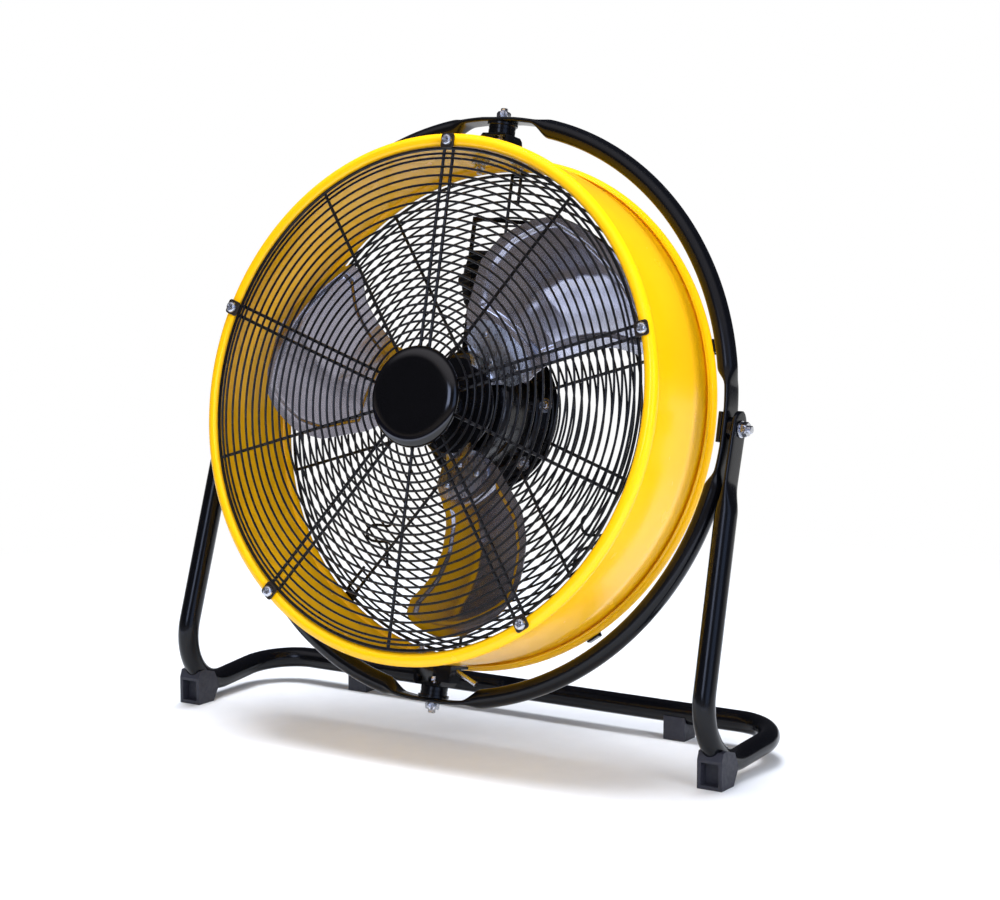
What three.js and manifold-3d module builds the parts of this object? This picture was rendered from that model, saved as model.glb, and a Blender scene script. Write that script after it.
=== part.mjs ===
// A drum fan on a tube stand: the drum turns in a gimbal ring, and the ring tilts in the stand.
// Millimetres. The part stands on z = 0 with +Z up and faces -Y.
// The drum's own frame has its origin where the two pivot axes cross, x to the right, y to the
// rear along the fan's axis and z up. Angles about the fan's axis start at +x and grow towards +z.
import * as THREE from "three";
import { mergeVertices } from "three/addons/utils/BufferGeometryUtils.js";
import Module from "manifold-3d";

const wasm = await Module();
wasm.setup();

const CLEAR = 0.3; // gap between pieces that rest on each other

// Where the pivots are
const FLOOR_GAP = 31; // floor to the ring's lowest point
const PIVOT_Y = 11.9; // tilt axis behind the middle of the base
const TILT = 12.7; // degrees that the drum leans back

// Drum
const DRUM_R = 265.5; // outer radius of the wall
const DRUM_WALL = 1.6;
const BEAD = 7; // section radius of the rolled edges
const BEAD_PROUD = 4.5; // how far the edges stand out of the wall
const DRUM_FRONT = 87.8; // pivot to the middle of the front edge
const DRUM_REAR = 34.5; // pivot to the middle of the rear edge
const COVE_START = -9.6; // where the wall starts to draw in towards the rear edge
const COVE_LENGTH = 29;
const COVE_DEPTH = 2.9;

// Guards
const HEAVY_WIRE = 5; // outer ring
const HEAVY_INSET = 8.4; // outer ring's radius below that of the drum's edge
const WIRE = 2.5; // rings
const SPOKE = 3.5;
const WELD = 0.55; // how deep crossing wires are welded into each other
const SPOKE_INSET = 0.9; // spokes lie this far inside the outer ring's plane
const FIRST_RING = 59.8;
const RING_PITCH = 35; // every fourth ring of the real guard
const HOOK_RING = 4; // pitches from the first ring to the one that carries the hooks
const SMALL_RING = 120; // rings under this radius have fewer corners
const FRONT_HUB_RING = 46;
const REAR_HUB_WIRE = 4;
const HUB_RING_CORNERS = 20; // a small ring's corners
const PAIR_GAP = 11; // between the two spokes of a pair
const STUB_LENGTH = 34;
const CLIP_COUNT = 5;
const HOOK_WIRE = 3;
// [degrees from straight down, radius from that ring's] of the points that a hook runs through
const HOOK_BENDS = [
  [56.55, 1.6],
  [53.4, -0.4],
  [50.1, -9.5],
  [46.3, -13.1],
  [41.5, -5],
];

// Cap in the middle of the front guard
const CAP_OVERHANG = 5.7; // outside the guard's hub ring
const CAP_DEPTH = 10.2;
const CAP_WALL = 2.5;
const CAP_ROUND = 6;

// Clips and their screws
const CLIP_WIDTH = 16;
const CLIP_LENGTH = 16;
const CLIP_SHEET = 2;
const CLIP_LIP = 14; // how far a rear clip reaches over the drum's edge
const REAR_CLIP_WIDTH = 14;
const SCREW_R = 2;
const SCREW_HEAD_R = 4.75;
const SCREW_HEAD = 3.3;
const SCREW_DEPTH = 6; // thread inside the drum's edge

// Motor
const MOTOR_R = 60;
const MOTOR_WALL = 3;
const MOTOR_FRONT = -14;
const MOTOR_SPLIT = 2; // front rim of the housing
const FLANGE = 2.5;
const STATOR_BORE = 34;
const STACK_FRONT_GAP = 3.7; // stator behind the housing's front rim
const STACK_REAR_GAP = 1.7; // stator in front of the rear bearing's boss
const AIR_GAP = 0.5;
const SHAFT_R = 6;
const SHAFT_NOSE = -45; // front end of the shaft
const COLLAR_R = 9;
const BEARING_R = 13;
const BEARING_LENGTH = 9.7;
const BOSS_WALL = 4;
const PLATE = 2.5; // plate that carries the motor
const PLATE_RIM = 3.5; // plate outside the rear guard's hub ring
const TONGUE_INSET = 6; // the plate's tongue is narrower than the box on each side
const TONGUE_INSET_TOP = 4;
const BAR_RISE = 62; // bent bar above the middle of the box
const BAR_LENGTH = 108;
const BAR_WIDTH = 4.5;
const MOUNT_SCREW_OUT = 11; // mounting screws outside the motor's wall
const MOUNT_SCREW_ANGLES = [10, 136, 190, 316];
const MOUNT_SHANK_R = 2.5;
const MOUNT_WASHER_R = 7.5;

// Fan
const BLADE_COUNT = 3;
const FIRST_BLADE = 48; // degrees
const BLADE_SHEET = 1.6;
const BLADE_GAP = 0.5; // between a blade and the arm that it is riveted to
const SPIDER_SHEET = 2;
const HUB_Y = -30; // middle of the spider's hub plate
const HUB_R = 50;
const RIVET_R = 2.4;
const FAN_NUT = 7;
const FAN_NUT_ACROSS = 17;
const TIP_GAP = 25.9; // between the drum's wall and the blades' tips
const ARM_ROOT = 6; // how far an arm starts inside the hub plate's edge
// [radius, leading edge and trailing edge in degrees from the blade's middle, and how far each
// lies behind the hub plate]. The last radius is the tip, and the drum sets the real one.
const BLADE_SHAPE = [
  [58, -16, 20, 7.5, -8.5],
  [64, -21, 27, 9, -11],
  [83, -28, 31.5, 11.5, -14],
  [98, -23, 33, 14, -17],
  [112, -20.5, 32, 19.5, -19],
  [124, -20.5, 31.5, 24, -21],
  [150, -21.5, 30.5, 28, -24.3],
  [180, -24.5, 25.3, 27.5, -25.3],
  [207, -29.5, 18, 28, -24.2],
  [222, -29, 13, 25, -23],
  [230, -25.5, 6.5, 21.5, -19],
  [238, -17, -5, 15, -9],
];
// [radius, half angle] of an arm of the spider, outside the hub plate
const ARM_SHAPE = [
  [58, 22],
  [66, 27],
  [84, 27],
  [93, 24],
  [97, 16],
];
const ARM_ROOT_ANGLE = 18;
const ARM_BEND = 4; // the arms leave the hub plate's plane this far inside its edge
const LONG_STEP = 30; // a longer step between a blade's stations gets a row halfway
// [radius, degrees from the arm's middle]
const RIVETS = [
  [63, 0],
  [82, -16],
  [82, 16],
];

// Gimbal ring
const RING_GAP = 34.5; // between the drum's wall and the ring's centreline
const RING_TUBE = 10;
const SEAT_OUT = 2.8; // middle of the flattened seats outside the centreline
const STRAP = 5; // thickness of a flattened tube
const STRAP_WIDTH = 25;
const SEAT_HALF = 18; // half length of a seat's flat face
const SEAT_END = 42; // where the flattened length ends
const SEAT_FADE = 16; // from there to the round tube
const RING_STEPS = 8; // between two seats

// Swivel joints, top and bottom
const BOLT_R = 4;
const BRACKET_WIDTH = 57;
const BRACKET_CROWN = 34; // width of its raised middle
const BRACKET_DEPTH = 30;
const BRACKET_SHEET = 3;
const SPOOL_LENGTH = 12;
const SPOOL_R = 14;
const SPOOL_FLANGE_R = 16;
const SPOOL_FLANGE = 3;
const NUT = 6.5; // height
const NUT_ACROSS = 13;
const BOLT_PROUD = 4; // thread past the nut
const HEAD = 5.5;
const LOCK_X = -28; // middle of the lower bracket's block, before the bracket is turned over
const LOCK_Y = -20;
const LOCK_WIDTH = 17;
const LOCK_DEPTH = 20;
const LOCK_DROP = 6; // from the bracket's crown down to the block's face
const LOCK_PIN_R = 2.5;
const LOCK_PIN_LENGTH = 33;
const LOCK_PIN_SLANT = 22; // degrees
const LOCK_PIN_BACK = 3; // the pin stands nearer the swivel than the block's middle

// Tilt joints, right and left
const SPACER = 5;
const SPACER_R = 11;
const TILT_PLATE = 4;
const TILT_PLATE_WIDTH = 24;
const TILT_PLATE_HEIGHT = 30;
const WASHER = 1.5;
const WASHER_R = 8.5;

// Stand
const TUBE_R = 11.25;
const STRAP_RUN = 50; // flattened length below the tilt axis
const STRAP_FADE = 35;
const STRAP_TOP = 17.5; // strap above the tilt axis
const LEAN = 16.5; // degrees
const FOOT_SPREAD = 7.6; // lower bend of an upright outside its strap
const BEND_Z = 12; // height of the point where upright and side tube would meet
const REAR_BAR_Y = 90; // behind the tilt axis
const REAR_BAR_Z = 27.5;
const CORNER_SPREAD = 14.6; // rear corner outside the strap
const BEND_R = 60;
const CORNER_R = 52;

// Feet
const FRONT_FOOT_WIDTH = 27;
const FRONT_FOOT_DEPTH = 35;
const FRONT_FOOT_HEIGHT = 38;
const FRONT_FOOT_SETBACK = 27.45; // its front face behind the meeting point of the tubes
const FOOT_RECESS = 19;
const FOOT_RECESS_DEPTH = 10;
const FOOT_RECESS_HEIGHT = 22;
const FOOT_RECESS_MIDDLE = 15; // above the floor
const REAR_FOOT_X = 203;
const REAR_FOOT_WIDTH = 25;
const REAR_FOOT_DEPTH = 24;
const REAR_FOOT_GRIP = 9; // how far it reaches up the tube's sides

// Switch box behind the motor plate
const BOX_X = -8;
const BOX_Z = 143;
const BOX_HALF_WIDTH = 44;
const BOX_HALF_HEIGHT = 30.5;
const BOX_BULGE = 5;
const BOX_DEPTH = 34;
const GLAND_R = 7;
const GLAND_LENGTH = 14;
const KNOB_R = 16;
const KNOB_LENGTH = 15;
const KNOB_STEM_R = 4;
const KNOB_STEM = 8;

// Sizes that follow from those above
const BEAD_RADIUS = DRUM_R + BEAD_PROUD - BEAD; // middle of the rolled edges
const HEAVY_R = BEAD_RADIUS - HEAVY_INSET;
const HEAVY_OUT = Math.sqrt((BEAD + HEAVY_WIRE / 2 + CLEAR) ** 2 - HEAVY_INSET ** 2);
const MOUNT_SCREW_R = MOTOR_R + MOUNT_SCREW_OUT;
const REAR_HUB_RING = MOUNT_SCREW_R + MOUNT_WASHER_R; // the washers hold it by its inner half
const HUB_RING_BORE = (REAR_HUB_RING - REAR_HUB_WIRE / 2) * Math.cos(Math.PI / HUB_RING_CORNERS);
const FLANGE_R = HUB_RING_BORE - CLEAR; // the motor's flange sits inside the rear hub ring
const PLATE_R = REAR_HUB_RING + PLATE_RIM;
const CAP_R = FRONT_HUB_RING + CAP_OVERHANG;
const SCREW_CIRCLE = BEAD_RADIUS - 1;
const CLIP_RING_Y = -DRUM_FRONT - HEAVY_OUT - HEAVY_WIRE / 2 - CLEAR; // clip over the guard
const CLIP_BEAD_Y = -DRUM_FRONT - BEAD - CLEAR; // clip over the drum's edge
const CLIP_FACE = Math.min(CLIP_RING_Y, CLIP_BEAD_Y) - CLIP_SHEET;
const FRONT_RING_Y = ringPlane(-1);
const REAR_RING_Y = ringPlane(1);
const PLATE_Y = REAR_RING_Y + WIRE / 2 + CLEAR; // front face of the motor plate
const FLANGE_Y = PLATE_Y - CLEAR - FLANGE;
const REAR_BEARING = FLANGE_Y + FLANGE - MOTOR_WALL - CLEAR; // rear face
const FRONT_BEARING = MOTOR_FRONT + MOTOR_WALL + CLEAR; // front face
const STACK_START = MOTOR_SPLIT + STACK_FRONT_GAP;
const STACK_END = REAR_BEARING - BEARING_LENGTH - STACK_REAR_GAP;
const BOX_Y = PLATE_Y + PLATE + CLEAR; // front face of the switch box
const FAN_SCALE = (DRUM_R - DRUM_WALL - TIP_GAP) / BLADE_SHAPE.at(-1)[0];
const RING_R = DRUM_R + RING_GAP;
const PIVOT_Z = RING_R + RING_TUBE + FLOOR_GAP; // tilt axis above the floor
const SEAT_R = RING_R + SEAT_OUT;
const NUT_SEAT = SEAT_R + STRAP / 2 + CLEAR; // outer face of a swivel seat
const BRACKET_TOP = SEAT_R - STRAP / 2 - 2 * CLEAR - SPOOL_LENGTH; // outer face of a bracket
const STRAP_X = SEAT_R + STRAP + SPACER + 2 * CLEAR; // middle of the stand's straps
const FOOT_X = STRAP_X + FOOT_SPREAD;
const CORNER_X = STRAP_X + CORNER_SPREAD;

const BLACK = { color: 0x15151a, roughness: 0.35, metalness: 0.2 };
const YELLOW = { color: 0xfdc513, roughness: 0.3, metalness: 0.1 };
const RUBBER = { color: 0x2a2b35, roughness: 0.75, metalness: 0 };
const PLASTIC = { color: 0x0e0e12, roughness: 0.25, metalness: 0 };
const ZINC = { color: 0xb9bcc4, roughness: 0.35, metalness: 0.9 };
const SHEET = { color: 0x9aa0b4, roughness: 0.25, metalness: 0.9 };
const COPPER = { color: 0xb06a3a, roughness: 0.5, metalness: 0.7 };

const part = new THREE.Group();
const drum = new THREE.Group(); // the ring, the drum and all that they carry
drum.position.set(0, PIVOT_Y, PIVOT_Z);
drum.rotation.x = THREE.MathUtils.degToRad(-TILT);
part.add(drum);

// ---------------------------------------------------------------- helpers

function rad(degrees) {
  return THREE.MathUtils.degToRad(degrees);
}

function vec(x, y, z) {
  return new THREE.Vector3(x, y, z);
}

// The plane of a guard's thin rings; side is -1 for the front guard and 1 for the rear one.
function ringPlane(side) {
  const bead = side < 0 ? DRUM_FRONT : DRUM_REAR;
  return side * (bead + HEAVY_OUT - SPOKE_INSET + SPOKE / 2 + WIRE / 2 - WELD);
}

// A geometry with its doubles merged, its empty triangles dropped and its faces pointing out.
function closed(geometry) {
  const bare = new THREE.BufferGeometry();
  bare.setAttribute("position", geometry.getAttribute("position").clone());
  if (geometry.index) bare.setIndex(geometry.index.clone());
  const merged = mergeVertices(bare, 1e-4);
  const corners = merged.index.array;
  const [a, b, c] = [vec(0, 0, 0), vec(0, 0, 0), vec(0, 0, 0)];
  const kept = [];
  let volume = 0;
  for (let i = 0; i < corners.length; i += 3) {
    const [p, q, r] = [corners[i], corners[i + 1], corners[i + 2]];
    if (p === q || q === r || r === p) continue;
    kept.push(p, q, r);
    a.fromBufferAttribute(merged.attributes.position, p);
    b.fromBufferAttribute(merged.attributes.position, q);
    c.fromBufferAttribute(merged.attributes.position, r);
    volume += a.dot(b.cross(c));
  }
  if (volume < 0) kept.reverse();
  merged.setIndex(kept);
  return merged;
}

function solid(geometry) {
  const shell = closed(geometry);
  return new wasm.Manifold(
    new wasm.Mesh({
      numProp: 3,
      vertProperties: shell.attributes.position.array,
      triVerts: new Uint32Array(shell.index.array),
    }),
  );
}

function geometryOf(body) {
  const mesh = body.getMesh();
  const geometry = new THREE.BufferGeometry();
  geometry.setAttribute("position", new THREE.Float32BufferAttribute(mesh.vertProperties, 3));
  geometry.setIndex(Array.from(mesh.triVerts));
  return geometry;
}

function joined(...geometries) {
  return geometries.map(solid).reduce((whole, next) => whole.add(next));
}

function add(group, name, shape, look) {
  const geometry = shape.isBufferGeometry ? closed(shape) : geometryOf(shape);
  const shaded = geometry.toNonIndexed();
  shaded.computeVertexNormals();
  const mesh = new THREE.Mesh(shaded, new THREE.MeshStandardMaterial(look));
  mesh.name = name;
  group.add(mesh);
  return mesh;
}

// A body of revolution about the fan's axis: its profile is a closed list of [radius, y].
function turned(profile, segments) {
  const points = profile.map(([radius, y]) => new THREE.Vector2(radius, y));
  if (profile[0][0] > 0 || profile.at(-1)[0] > 0) points.push(points[0].clone());
  return new THREE.LatheGeometry(points, segments);
}

// A tube or rod's plain ring: a body of revolution with a rectangular section.
function sleeve(inner, outer, from, to, segments) {
  return turned([[inner, from], [outer, from], [outer, to], [inner, to]], segments);
}

// A round bar from one point to another.
function rod(from, to, radius, sides = 10) {
  const along = to.clone().sub(from);
  const bar = new THREE.CylinderGeometry(radius, radius, along.length(), sides);
  const turn = new THREE.Quaternion().setFromUnitVectors(vec(0, 1, 0), along.normalize());
  bar.applyQuaternion(turn);
  const middle = from.clone().add(to).multiplyScalar(0.5);
  return bar.translate(middle.x, middle.y, middle.z);
}

// An outline of [u, v] points pushed out by depth along the third axis.
function plate(outline, depth, holes = []) {
  const shape = new THREE.Shape(outline.map(([u, v]) => new THREE.Vector2(u, v)));
  for (const [u, v, radius] of holes) {
    shape.holes.push(new THREE.Path().absarc(u, v, radius, 0, 2 * Math.PI, true));
  }
  return new THREE.ExtrudeGeometry(shape, { depth, bevelEnabled: false, curveSegments: 6 });
}

function polygon(radius, corners, phase = 0) {
  return Array.from({ length: corners }, (_, i) => {
    const angle = (2 * Math.PI * i) / corners + phase;
    return [radius * Math.cos(angle), radius * Math.sin(angle)];
  });
}

// A hexagon nut from z = 0 up.
function hexNut(across, bore, height) {
  return plate(polygon(across / Math.sqrt(3), 6), height, [[0, 0, bore]]);
}

// A skin over a row of rings of points, closed by flat ends or into a loop.
function loft(rings, loop = false) {
  const count = rings[0].length;
  const points = rings.flat().flatMap((p) => [p.x, p.y, p.z]);
  const faces = [];
  const spans = loop ? rings.length : rings.length - 1;
  for (let i = 0; i < spans; i += 1) {
    const next = (i + 1) % rings.length;
    for (let k = 0; k < count; k += 1) {
      const [a, b] = [i * count + k, i * count + ((k + 1) % count)];
      const [c, d] = [next * count + k, next * count + ((k + 1) % count)];
      faces.push(a, b, d, a, d, c);
    }
  }
  for (let k = 1; !loop && k < count - 1; k += 1) {
    const end = (rings.length - 1) * count;
    faces.push(0, k + 1, k, end, end + k, end + k + 1);
  }
  const geometry = new THREE.BufferGeometry();
  geometry.setAttribute("position", new THREE.Float32BufferAttribute(points, 3));
  geometry.setIndex(faces);
  return geometry;
}

// The section of a round tube that is pressed flat: [along its width, through its thickness].
function pressedSection(width, round, half, sides) {
  return Array.from({ length: sides }, (_, i) => {
    const angle = (2 * Math.PI * (i + 0.5)) / sides;
    return [width * Math.cos(angle), THREE.MathUtils.clamp(round * Math.sin(angle), -half, half)];
  });
}

function mix(from, to, share) {
  return from + (to - from) * THREE.MathUtils.clamp(share, 0, 1);
}

// The value at x of straight lines through [x, ...values] stations, for the given column.
function between(stations, column, x) {
  const last = stations.length - 2;
  const found = stations.findIndex((station, i) => i > 0 && x <= station[0]);
  const i = found < 0 ? last : found - 1;
  const [low, high] = [stations[i], stations[i + 1]];
  return mix(low[column], high[column], (x - low[0]) / (high[0] - low[0]));
}

// ---------------------------------------------------------------- drum

function drumShell() {
  const inner = DRUM_R - DRUM_WALL;
  const arc = (y, from, to, steps) =>
    Array.from({ length: steps + 1 }, (_, i) => {
      const angle = rad(from + ((to - from) * i) / steps);
      return [BEAD_RADIUS + BEAD * Math.cos(angle), y + BEAD * Math.sin(angle)];
    });
  const outerTurn = (DRUM_R - BEAD_RADIUS) / BEAD; // where the wall meets an edge, outside
  const innerTurn = (inner - BEAD_RADIUS) / BEAD;
  const outDegrees = THREE.MathUtils.radToDeg(Math.acos(outerTurn));
  const inDegrees = THREE.MathUtils.radToDeg(Math.acos(innerTurn));
  const coveOut = THREE.MathUtils.radToDeg(Math.acos((DRUM_R - COVE_DEPTH - BEAD_RADIUS) / BEAD));
  const coveIn = THREE.MathUtils.radToDeg(Math.acos((inner - COVE_DEPTH - BEAD_RADIUS) / BEAD));
  const coveEnd = COVE_START + COVE_LENGTH;
  const profile = [
    ...arc(-DRUM_FRONT, outDegrees, inDegrees - 360, 5),
    [inner, COVE_START],
    [inner - COVE_DEPTH, coveEnd],
    ...arc(DRUM_REAR, 360 - coveIn, -coveOut, 5),
    [DRUM_R - COVE_DEPTH, coveEnd],
    [DRUM_R, COVE_START],
  ];
  let shell = solid(turned(profile, 48));
  for (const angle of clipAngles()) {
    const [x, z] = [SCREW_CIRCLE * Math.cos(angle), SCREW_CIRCLE * Math.sin(angle)];
    const mouth = -DRUM_FRONT - BEAD;
    const bore = rod(vec(x, mouth - 1, z), vec(x, mouth + SCREW_DEPTH + CLEAR, z), SCREW_R + CLEAR, 6);
    shell = shell.subtract(solid(bore));
  }
  return shell;
}

function clipAngles() {
  return Array.from({ length: CLIP_COUNT }, (_, i) => rad(90) - (2 * Math.PI * i) / CLIP_COUNT);
}

// ---------------------------------------------------------------- guards

// A wire ring about the fan's axis, flat on the side away from the spokes; side is -1 in front.
// Its corners lie between the spokes.
function wireRing(radius, wire, y, side) {
  const segments = radius > SMALL_RING ? 25 : HUB_RING_CORNERS;
  const half = wire / 2;
  const section = [[radius - half, y + side * half], [radius + half, y + side * half]];
  return turned([...section, [radius, y - side * half]], segments).rotateY(Math.PI / segments);
}

// The outer ring that the spokes end in.
function heavyRing(y) {
  const section = polygon(HEAVY_WIRE / 2, 6).map(([out, along]) => [HEAVY_R + out, y + along]);
  return turned(section, 25).rotateY(Math.PI / 25);
}

// A straight wire along a radius, moved sideways by shift.
function spoke(angle, from, to, y, shift = 0) {
  const bar = new THREE.CylinderGeometry(SPOKE / 2, SPOKE / 2, to - from, 4);
  bar.rotateZ(-Math.PI / 2);
  bar.translate((from + to) / 2, y, shift);
  return bar.rotateY(-angle);
}

// Rings and spokes that both guards share: pairs of spokes at some angles, single ones between.
function guard(side, hubRing, hubWire, wholePairs) {
  const bead = side < 0 ? DRUM_FRONT : DRUM_REAR;
  const heavyY = side * (bead + HEAVY_OUT);
  const spokeY = heavyY - side * SPOKE_INSET;
  const ringY = ringPlane(side);
  const hubY = ringY + (side * (WIRE - hubWire)) / 2;
  const rings = [heavyRing(heavyY), wireRing(hubRing, hubWire, hubY, side)];
  const first = FIRST_RING + RING_PITCH * Math.ceil((hubRing + WIRE * 2 - FIRST_RING) / RING_PITCH);
  for (let radius = first; radius < HEAVY_R - HEAVY_WIRE * 2; radius += RING_PITCH) {
    rings.push(wireRing(radius, WIRE, ringY, side));
  }
  const inner = hubRing - 1;
  const spokes = [];
  for (const angle of clipAngles()) {
    const pairStart = wholePairs ? inner : HEAVY_R - STUB_LENGTH;
    spokes.push(spoke(angle + Math.PI / CLIP_COUNT, inner, HEAVY_R, spokeY));
    spokes.push(spoke(angle, inner, HEAVY_R, spokeY, PAIR_GAP / 2));
    spokes.push(spoke(angle, pairStart, HEAVY_R, spokeY, -PAIR_GAP / 2));
  }
  return joined(...rings).add(joined(...spokes));
}

// A bent-wire hook on the outside of the rear guard, for winding up a lead.
function hook(mirror) {
  const y = REAR_RING_Y + WIRE / 2 + HOOK_WIRE / 2 - WELD;
  const points = HOOK_BENDS.map(([degrees, offset]) => {
    const radius = FIRST_RING + HOOK_RING * RING_PITCH + offset;
    return vec(-mirror * radius * Math.sin(rad(degrees)), y, -radius * Math.cos(rad(degrees)));
  });
  const section = new THREE.Shape(
    polygon(HOOK_WIRE / 2, 6).map(([u, v]) => new THREE.Vector2(u, v)),
  );
  const path = new THREE.CatmullRomCurve3(points);
  return new THREE.ExtrudeGeometry(section, { steps: 10, extrudePath: path });
}

function rearGuard() {
  const wires = guard(1, REAR_HUB_RING, REAR_HUB_WIRE, false);
  return wires.add(solid(hook(1))).add(solid(hook(-1)));
}

function guardCap() {
  const back = FRONT_RING_Y - WIRE / 2 - CLEAR;
  const front = back - CAP_DEPTH;
  const rim = CAP_R - CAP_ROUND;
  const lip = FRONT_HUB_RING - WIRE; // rests on the guard's hub ring
  const edge = Array.from({ length: 4 }, (_, i) => {
    const angle = rad(30 * i);
    return [rim + CAP_ROUND * Math.sin(angle), front + 1 + CAP_ROUND * (1 - Math.cos(angle))];
  });
  return turned(
    [
      [0, front],
      [rim / 2, front + 0.3],
      ...edge,
      [CAP_R, back],
      [lip, back],
      [lip, back - CAP_WALL],
      [CAP_R - CAP_WALL, back - CAP_WALL],
      [rim, front + 1 + CAP_WALL],
      [0, front + CAP_WALL],
    ],
    24,
  );
}

// ---------------------------------------------------------------- clips

// The front clips lie on the guard's outer ring and come down to the drum's edge.
function frontClip() {
  const [inner, outer] = [SCREW_CIRCLE - CLIP_LENGTH / 2 - 1, SCREW_CIRCLE + CLIP_LENGTH / 2 - 1];
  const step = SCREW_CIRCLE - 3;
  const profile = [
    [inner, CLIP_FACE],
    [outer, CLIP_FACE],
    [outer, CLIP_BEAD_Y],
    [step, CLIP_BEAD_Y],
    [step, CLIP_RING_Y],
    [inner, CLIP_RING_Y],
  ];
  const body = plate(profile, CLIP_WIDTH).translate(0, 0, -CLIP_WIDTH / 2);
  const bore = rod(
    vec(SCREW_CIRCLE, CLIP_FACE - 1, 0),
    vec(SCREW_CIRCLE, CLIP_BEAD_Y + 2, 0),
    SCREW_R + CLEAR,
    6,
  );
  return solid(body).subtract(solid(bore));
}

function clipScrew() {
  const under = CLIP_FACE - CLEAR;
  const tip = -DRUM_FRONT - BEAD + SCREW_DEPTH;
  const body = turned(
    [
      [0, under - SCREW_HEAD],
      [SCREW_HEAD_R * 0.6, under - SCREW_HEAD],
      [SCREW_HEAD_R, under - SCREW_HEAD * 0.5],
      [SCREW_HEAD_R, under],
      [SCREW_R, under],
      [SCREW_R, tip],
      [0, tip],
    ],
    8,
  );
  return body.translate(SCREW_CIRCLE, 0, 0);
}

// The rear clips lie behind the guard's outer ring and reach over the drum's edge.
function rearClip() {
  const seat = DRUM_REAR + Math.max(BEAD, HEAVY_OUT + HEAVY_WIRE / 2) + CLEAR;
  const lip = BEAD_RADIUS + BEAD + CLEAR;
  const inner = HEAVY_R - HEAVY_WIRE / 2 - 1;
  const profile = [
    [inner, seat],
    [lip, seat],
    [lip, seat - CLIP_LIP],
    [lip + CLIP_SHEET, seat - CLIP_LIP],
    [lip + CLIP_SHEET, seat + CLIP_SHEET],
    [inner, seat + CLIP_SHEET],
  ];
  return plate(profile, REAR_CLIP_WIDTH).translate(0, 0, -REAR_CLIP_WIDTH / 2);
}

// ---------------------------------------------------------------- motor

function motorHousing() {
  const back = FLANGE_Y + FLANGE;
  const floor = back - MOTOR_WALL;
  const inner = MOTOR_R - MOTOR_WALL;
  const bossIn = BEARING_R + CLEAR;
  const bossOut = bossIn + BOSS_WALL;
  const cup = solid(
    turned(
      [
        [0, back],
        [0, floor],
        [bossIn, floor],
        [bossIn, REAR_BEARING - BEARING_LENGTH],
        [bossOut, REAR_BEARING - BEARING_LENGTH],
        [bossOut, floor],
        [inner, floor],
        [inner, MOTOR_SPLIT],
        [MOTOR_R, MOTOR_SPLIT],
        [MOTOR_R, FLANGE_Y],
        [FLANGE_R, FLANGE_Y],
        [FLANGE_R, back],
      ],
      24,
    ),
  );
  return drilled(cup, FLANGE_Y - 1, back + 1);
}

// The four holes for the mounting screws.
function drilled(body, from, to) {
  return MOUNT_SCREW_ANGLES.reduce((rest, angle) => {
    const x = MOUNT_SCREW_R * Math.cos(rad(angle));
    const z = MOUNT_SCREW_R * Math.sin(rad(angle));
    return rest.subtract(solid(rod(vec(x, from, z), vec(x, to, z), MOUNT_SHANK_R + CLEAR, 10)));
  }, body);
}

function motorCover() {
  const inner = MOTOR_R - MOTOR_WALL;
  const end = MOTOR_SPLIT - CLEAR;
  const face = MOTOR_FRONT + MOTOR_WALL;
  const bossIn = BEARING_R + CLEAR;
  const bossOut = bossIn + BOSS_WALL;
  const opening = COLLAR_R + CLEAR;
  return turned(
    [
      [opening, MOTOR_FRONT],
      [MOTOR_R - MOTOR_WALL, MOTOR_FRONT],
      [MOTOR_R, MOTOR_FRONT + MOTOR_WALL],
      [MOTOR_R, end],
      [inner, end],
      [inner, face],
      [bossOut, face],
      [bossOut, FRONT_BEARING + BEARING_LENGTH],
      [bossIn, FRONT_BEARING + BEARING_LENGTH],
      [bossIn, face],
      [opening, face],
    ],
    24,
  );
}

function bearing(from) {
  return sleeve(SHAFT_R + CLEAR, BEARING_R, from, from + BEARING_LENGTH, 12);
}

function motorShaft() {
  const hubBack = HUB_Y + SPIDER_SHEET / 2 + CLEAR;
  const end = FRONT_BEARING - CLEAR;
  return turned(
    [
      [0, SHAFT_NOSE],
      [SHAFT_R - 1, SHAFT_NOSE],
      [SHAFT_R, SHAFT_NOSE + 1],
      [SHAFT_R, hubBack],
      [COLLAR_R, hubBack],
      [COLLAR_R, end],
      [SHAFT_R, end],
      [SHAFT_R, REAR_BEARING - CLEAR],
      [0, REAR_BEARING - CLEAR],
    ],
    12,
  );
}

// The plate behind the rear guard: a disc, a tongue that carries the switch box and a bent bar.
function mountPlate() {
  const left = BOX_X - BOX_HALF_WIDTH;
  const tongueLeft = left + TONGUE_INSET;
  const tongueRight = BOX_X + BOX_HALF_WIDTH - TONGUE_INSET;
  const top = BOX_Z + BOX_HALF_HEIGHT - TONGUE_INSET_TOP;
  const reach = (x) => Math.sqrt(PLATE_R ** 2 - x ** 2);
  const start = Math.atan2(reach(tongueLeft), tongueLeft);
  const end = Math.atan2(reach(tongueRight), tongueRight) + 2 * Math.PI;
  const disc = Array.from({ length: 29 }, (_, i) => {
    const angle = start + ((end - start) * i) / 28;
    return [PLATE_R * Math.cos(angle), PLATE_R * Math.sin(angle)];
  });
  const bar = BOX_Z + BAR_RISE;
  const barEnd = left + BAR_LENGTH;
  const outline = [
    ...disc,
    [tongueRight, top],
    [left + BAR_WIDTH, top],
    [left + BAR_WIDTH, bar],
    [barEnd, bar - BAR_WIDTH - 1],
    [barEnd, bar - 1],
    [left, bar + BAR_WIDTH],
    [left, top - 16],
    [tongueLeft, top - 20],
  ];
  const sheet = plate(outline, PLATE).rotateX(Math.PI / 2).translate(0, PLATE_Y + PLATE, 0);
  return drilled(solid(sheet), PLATE_Y - 1, PLATE_Y + PLATE + 1);
}

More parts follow.
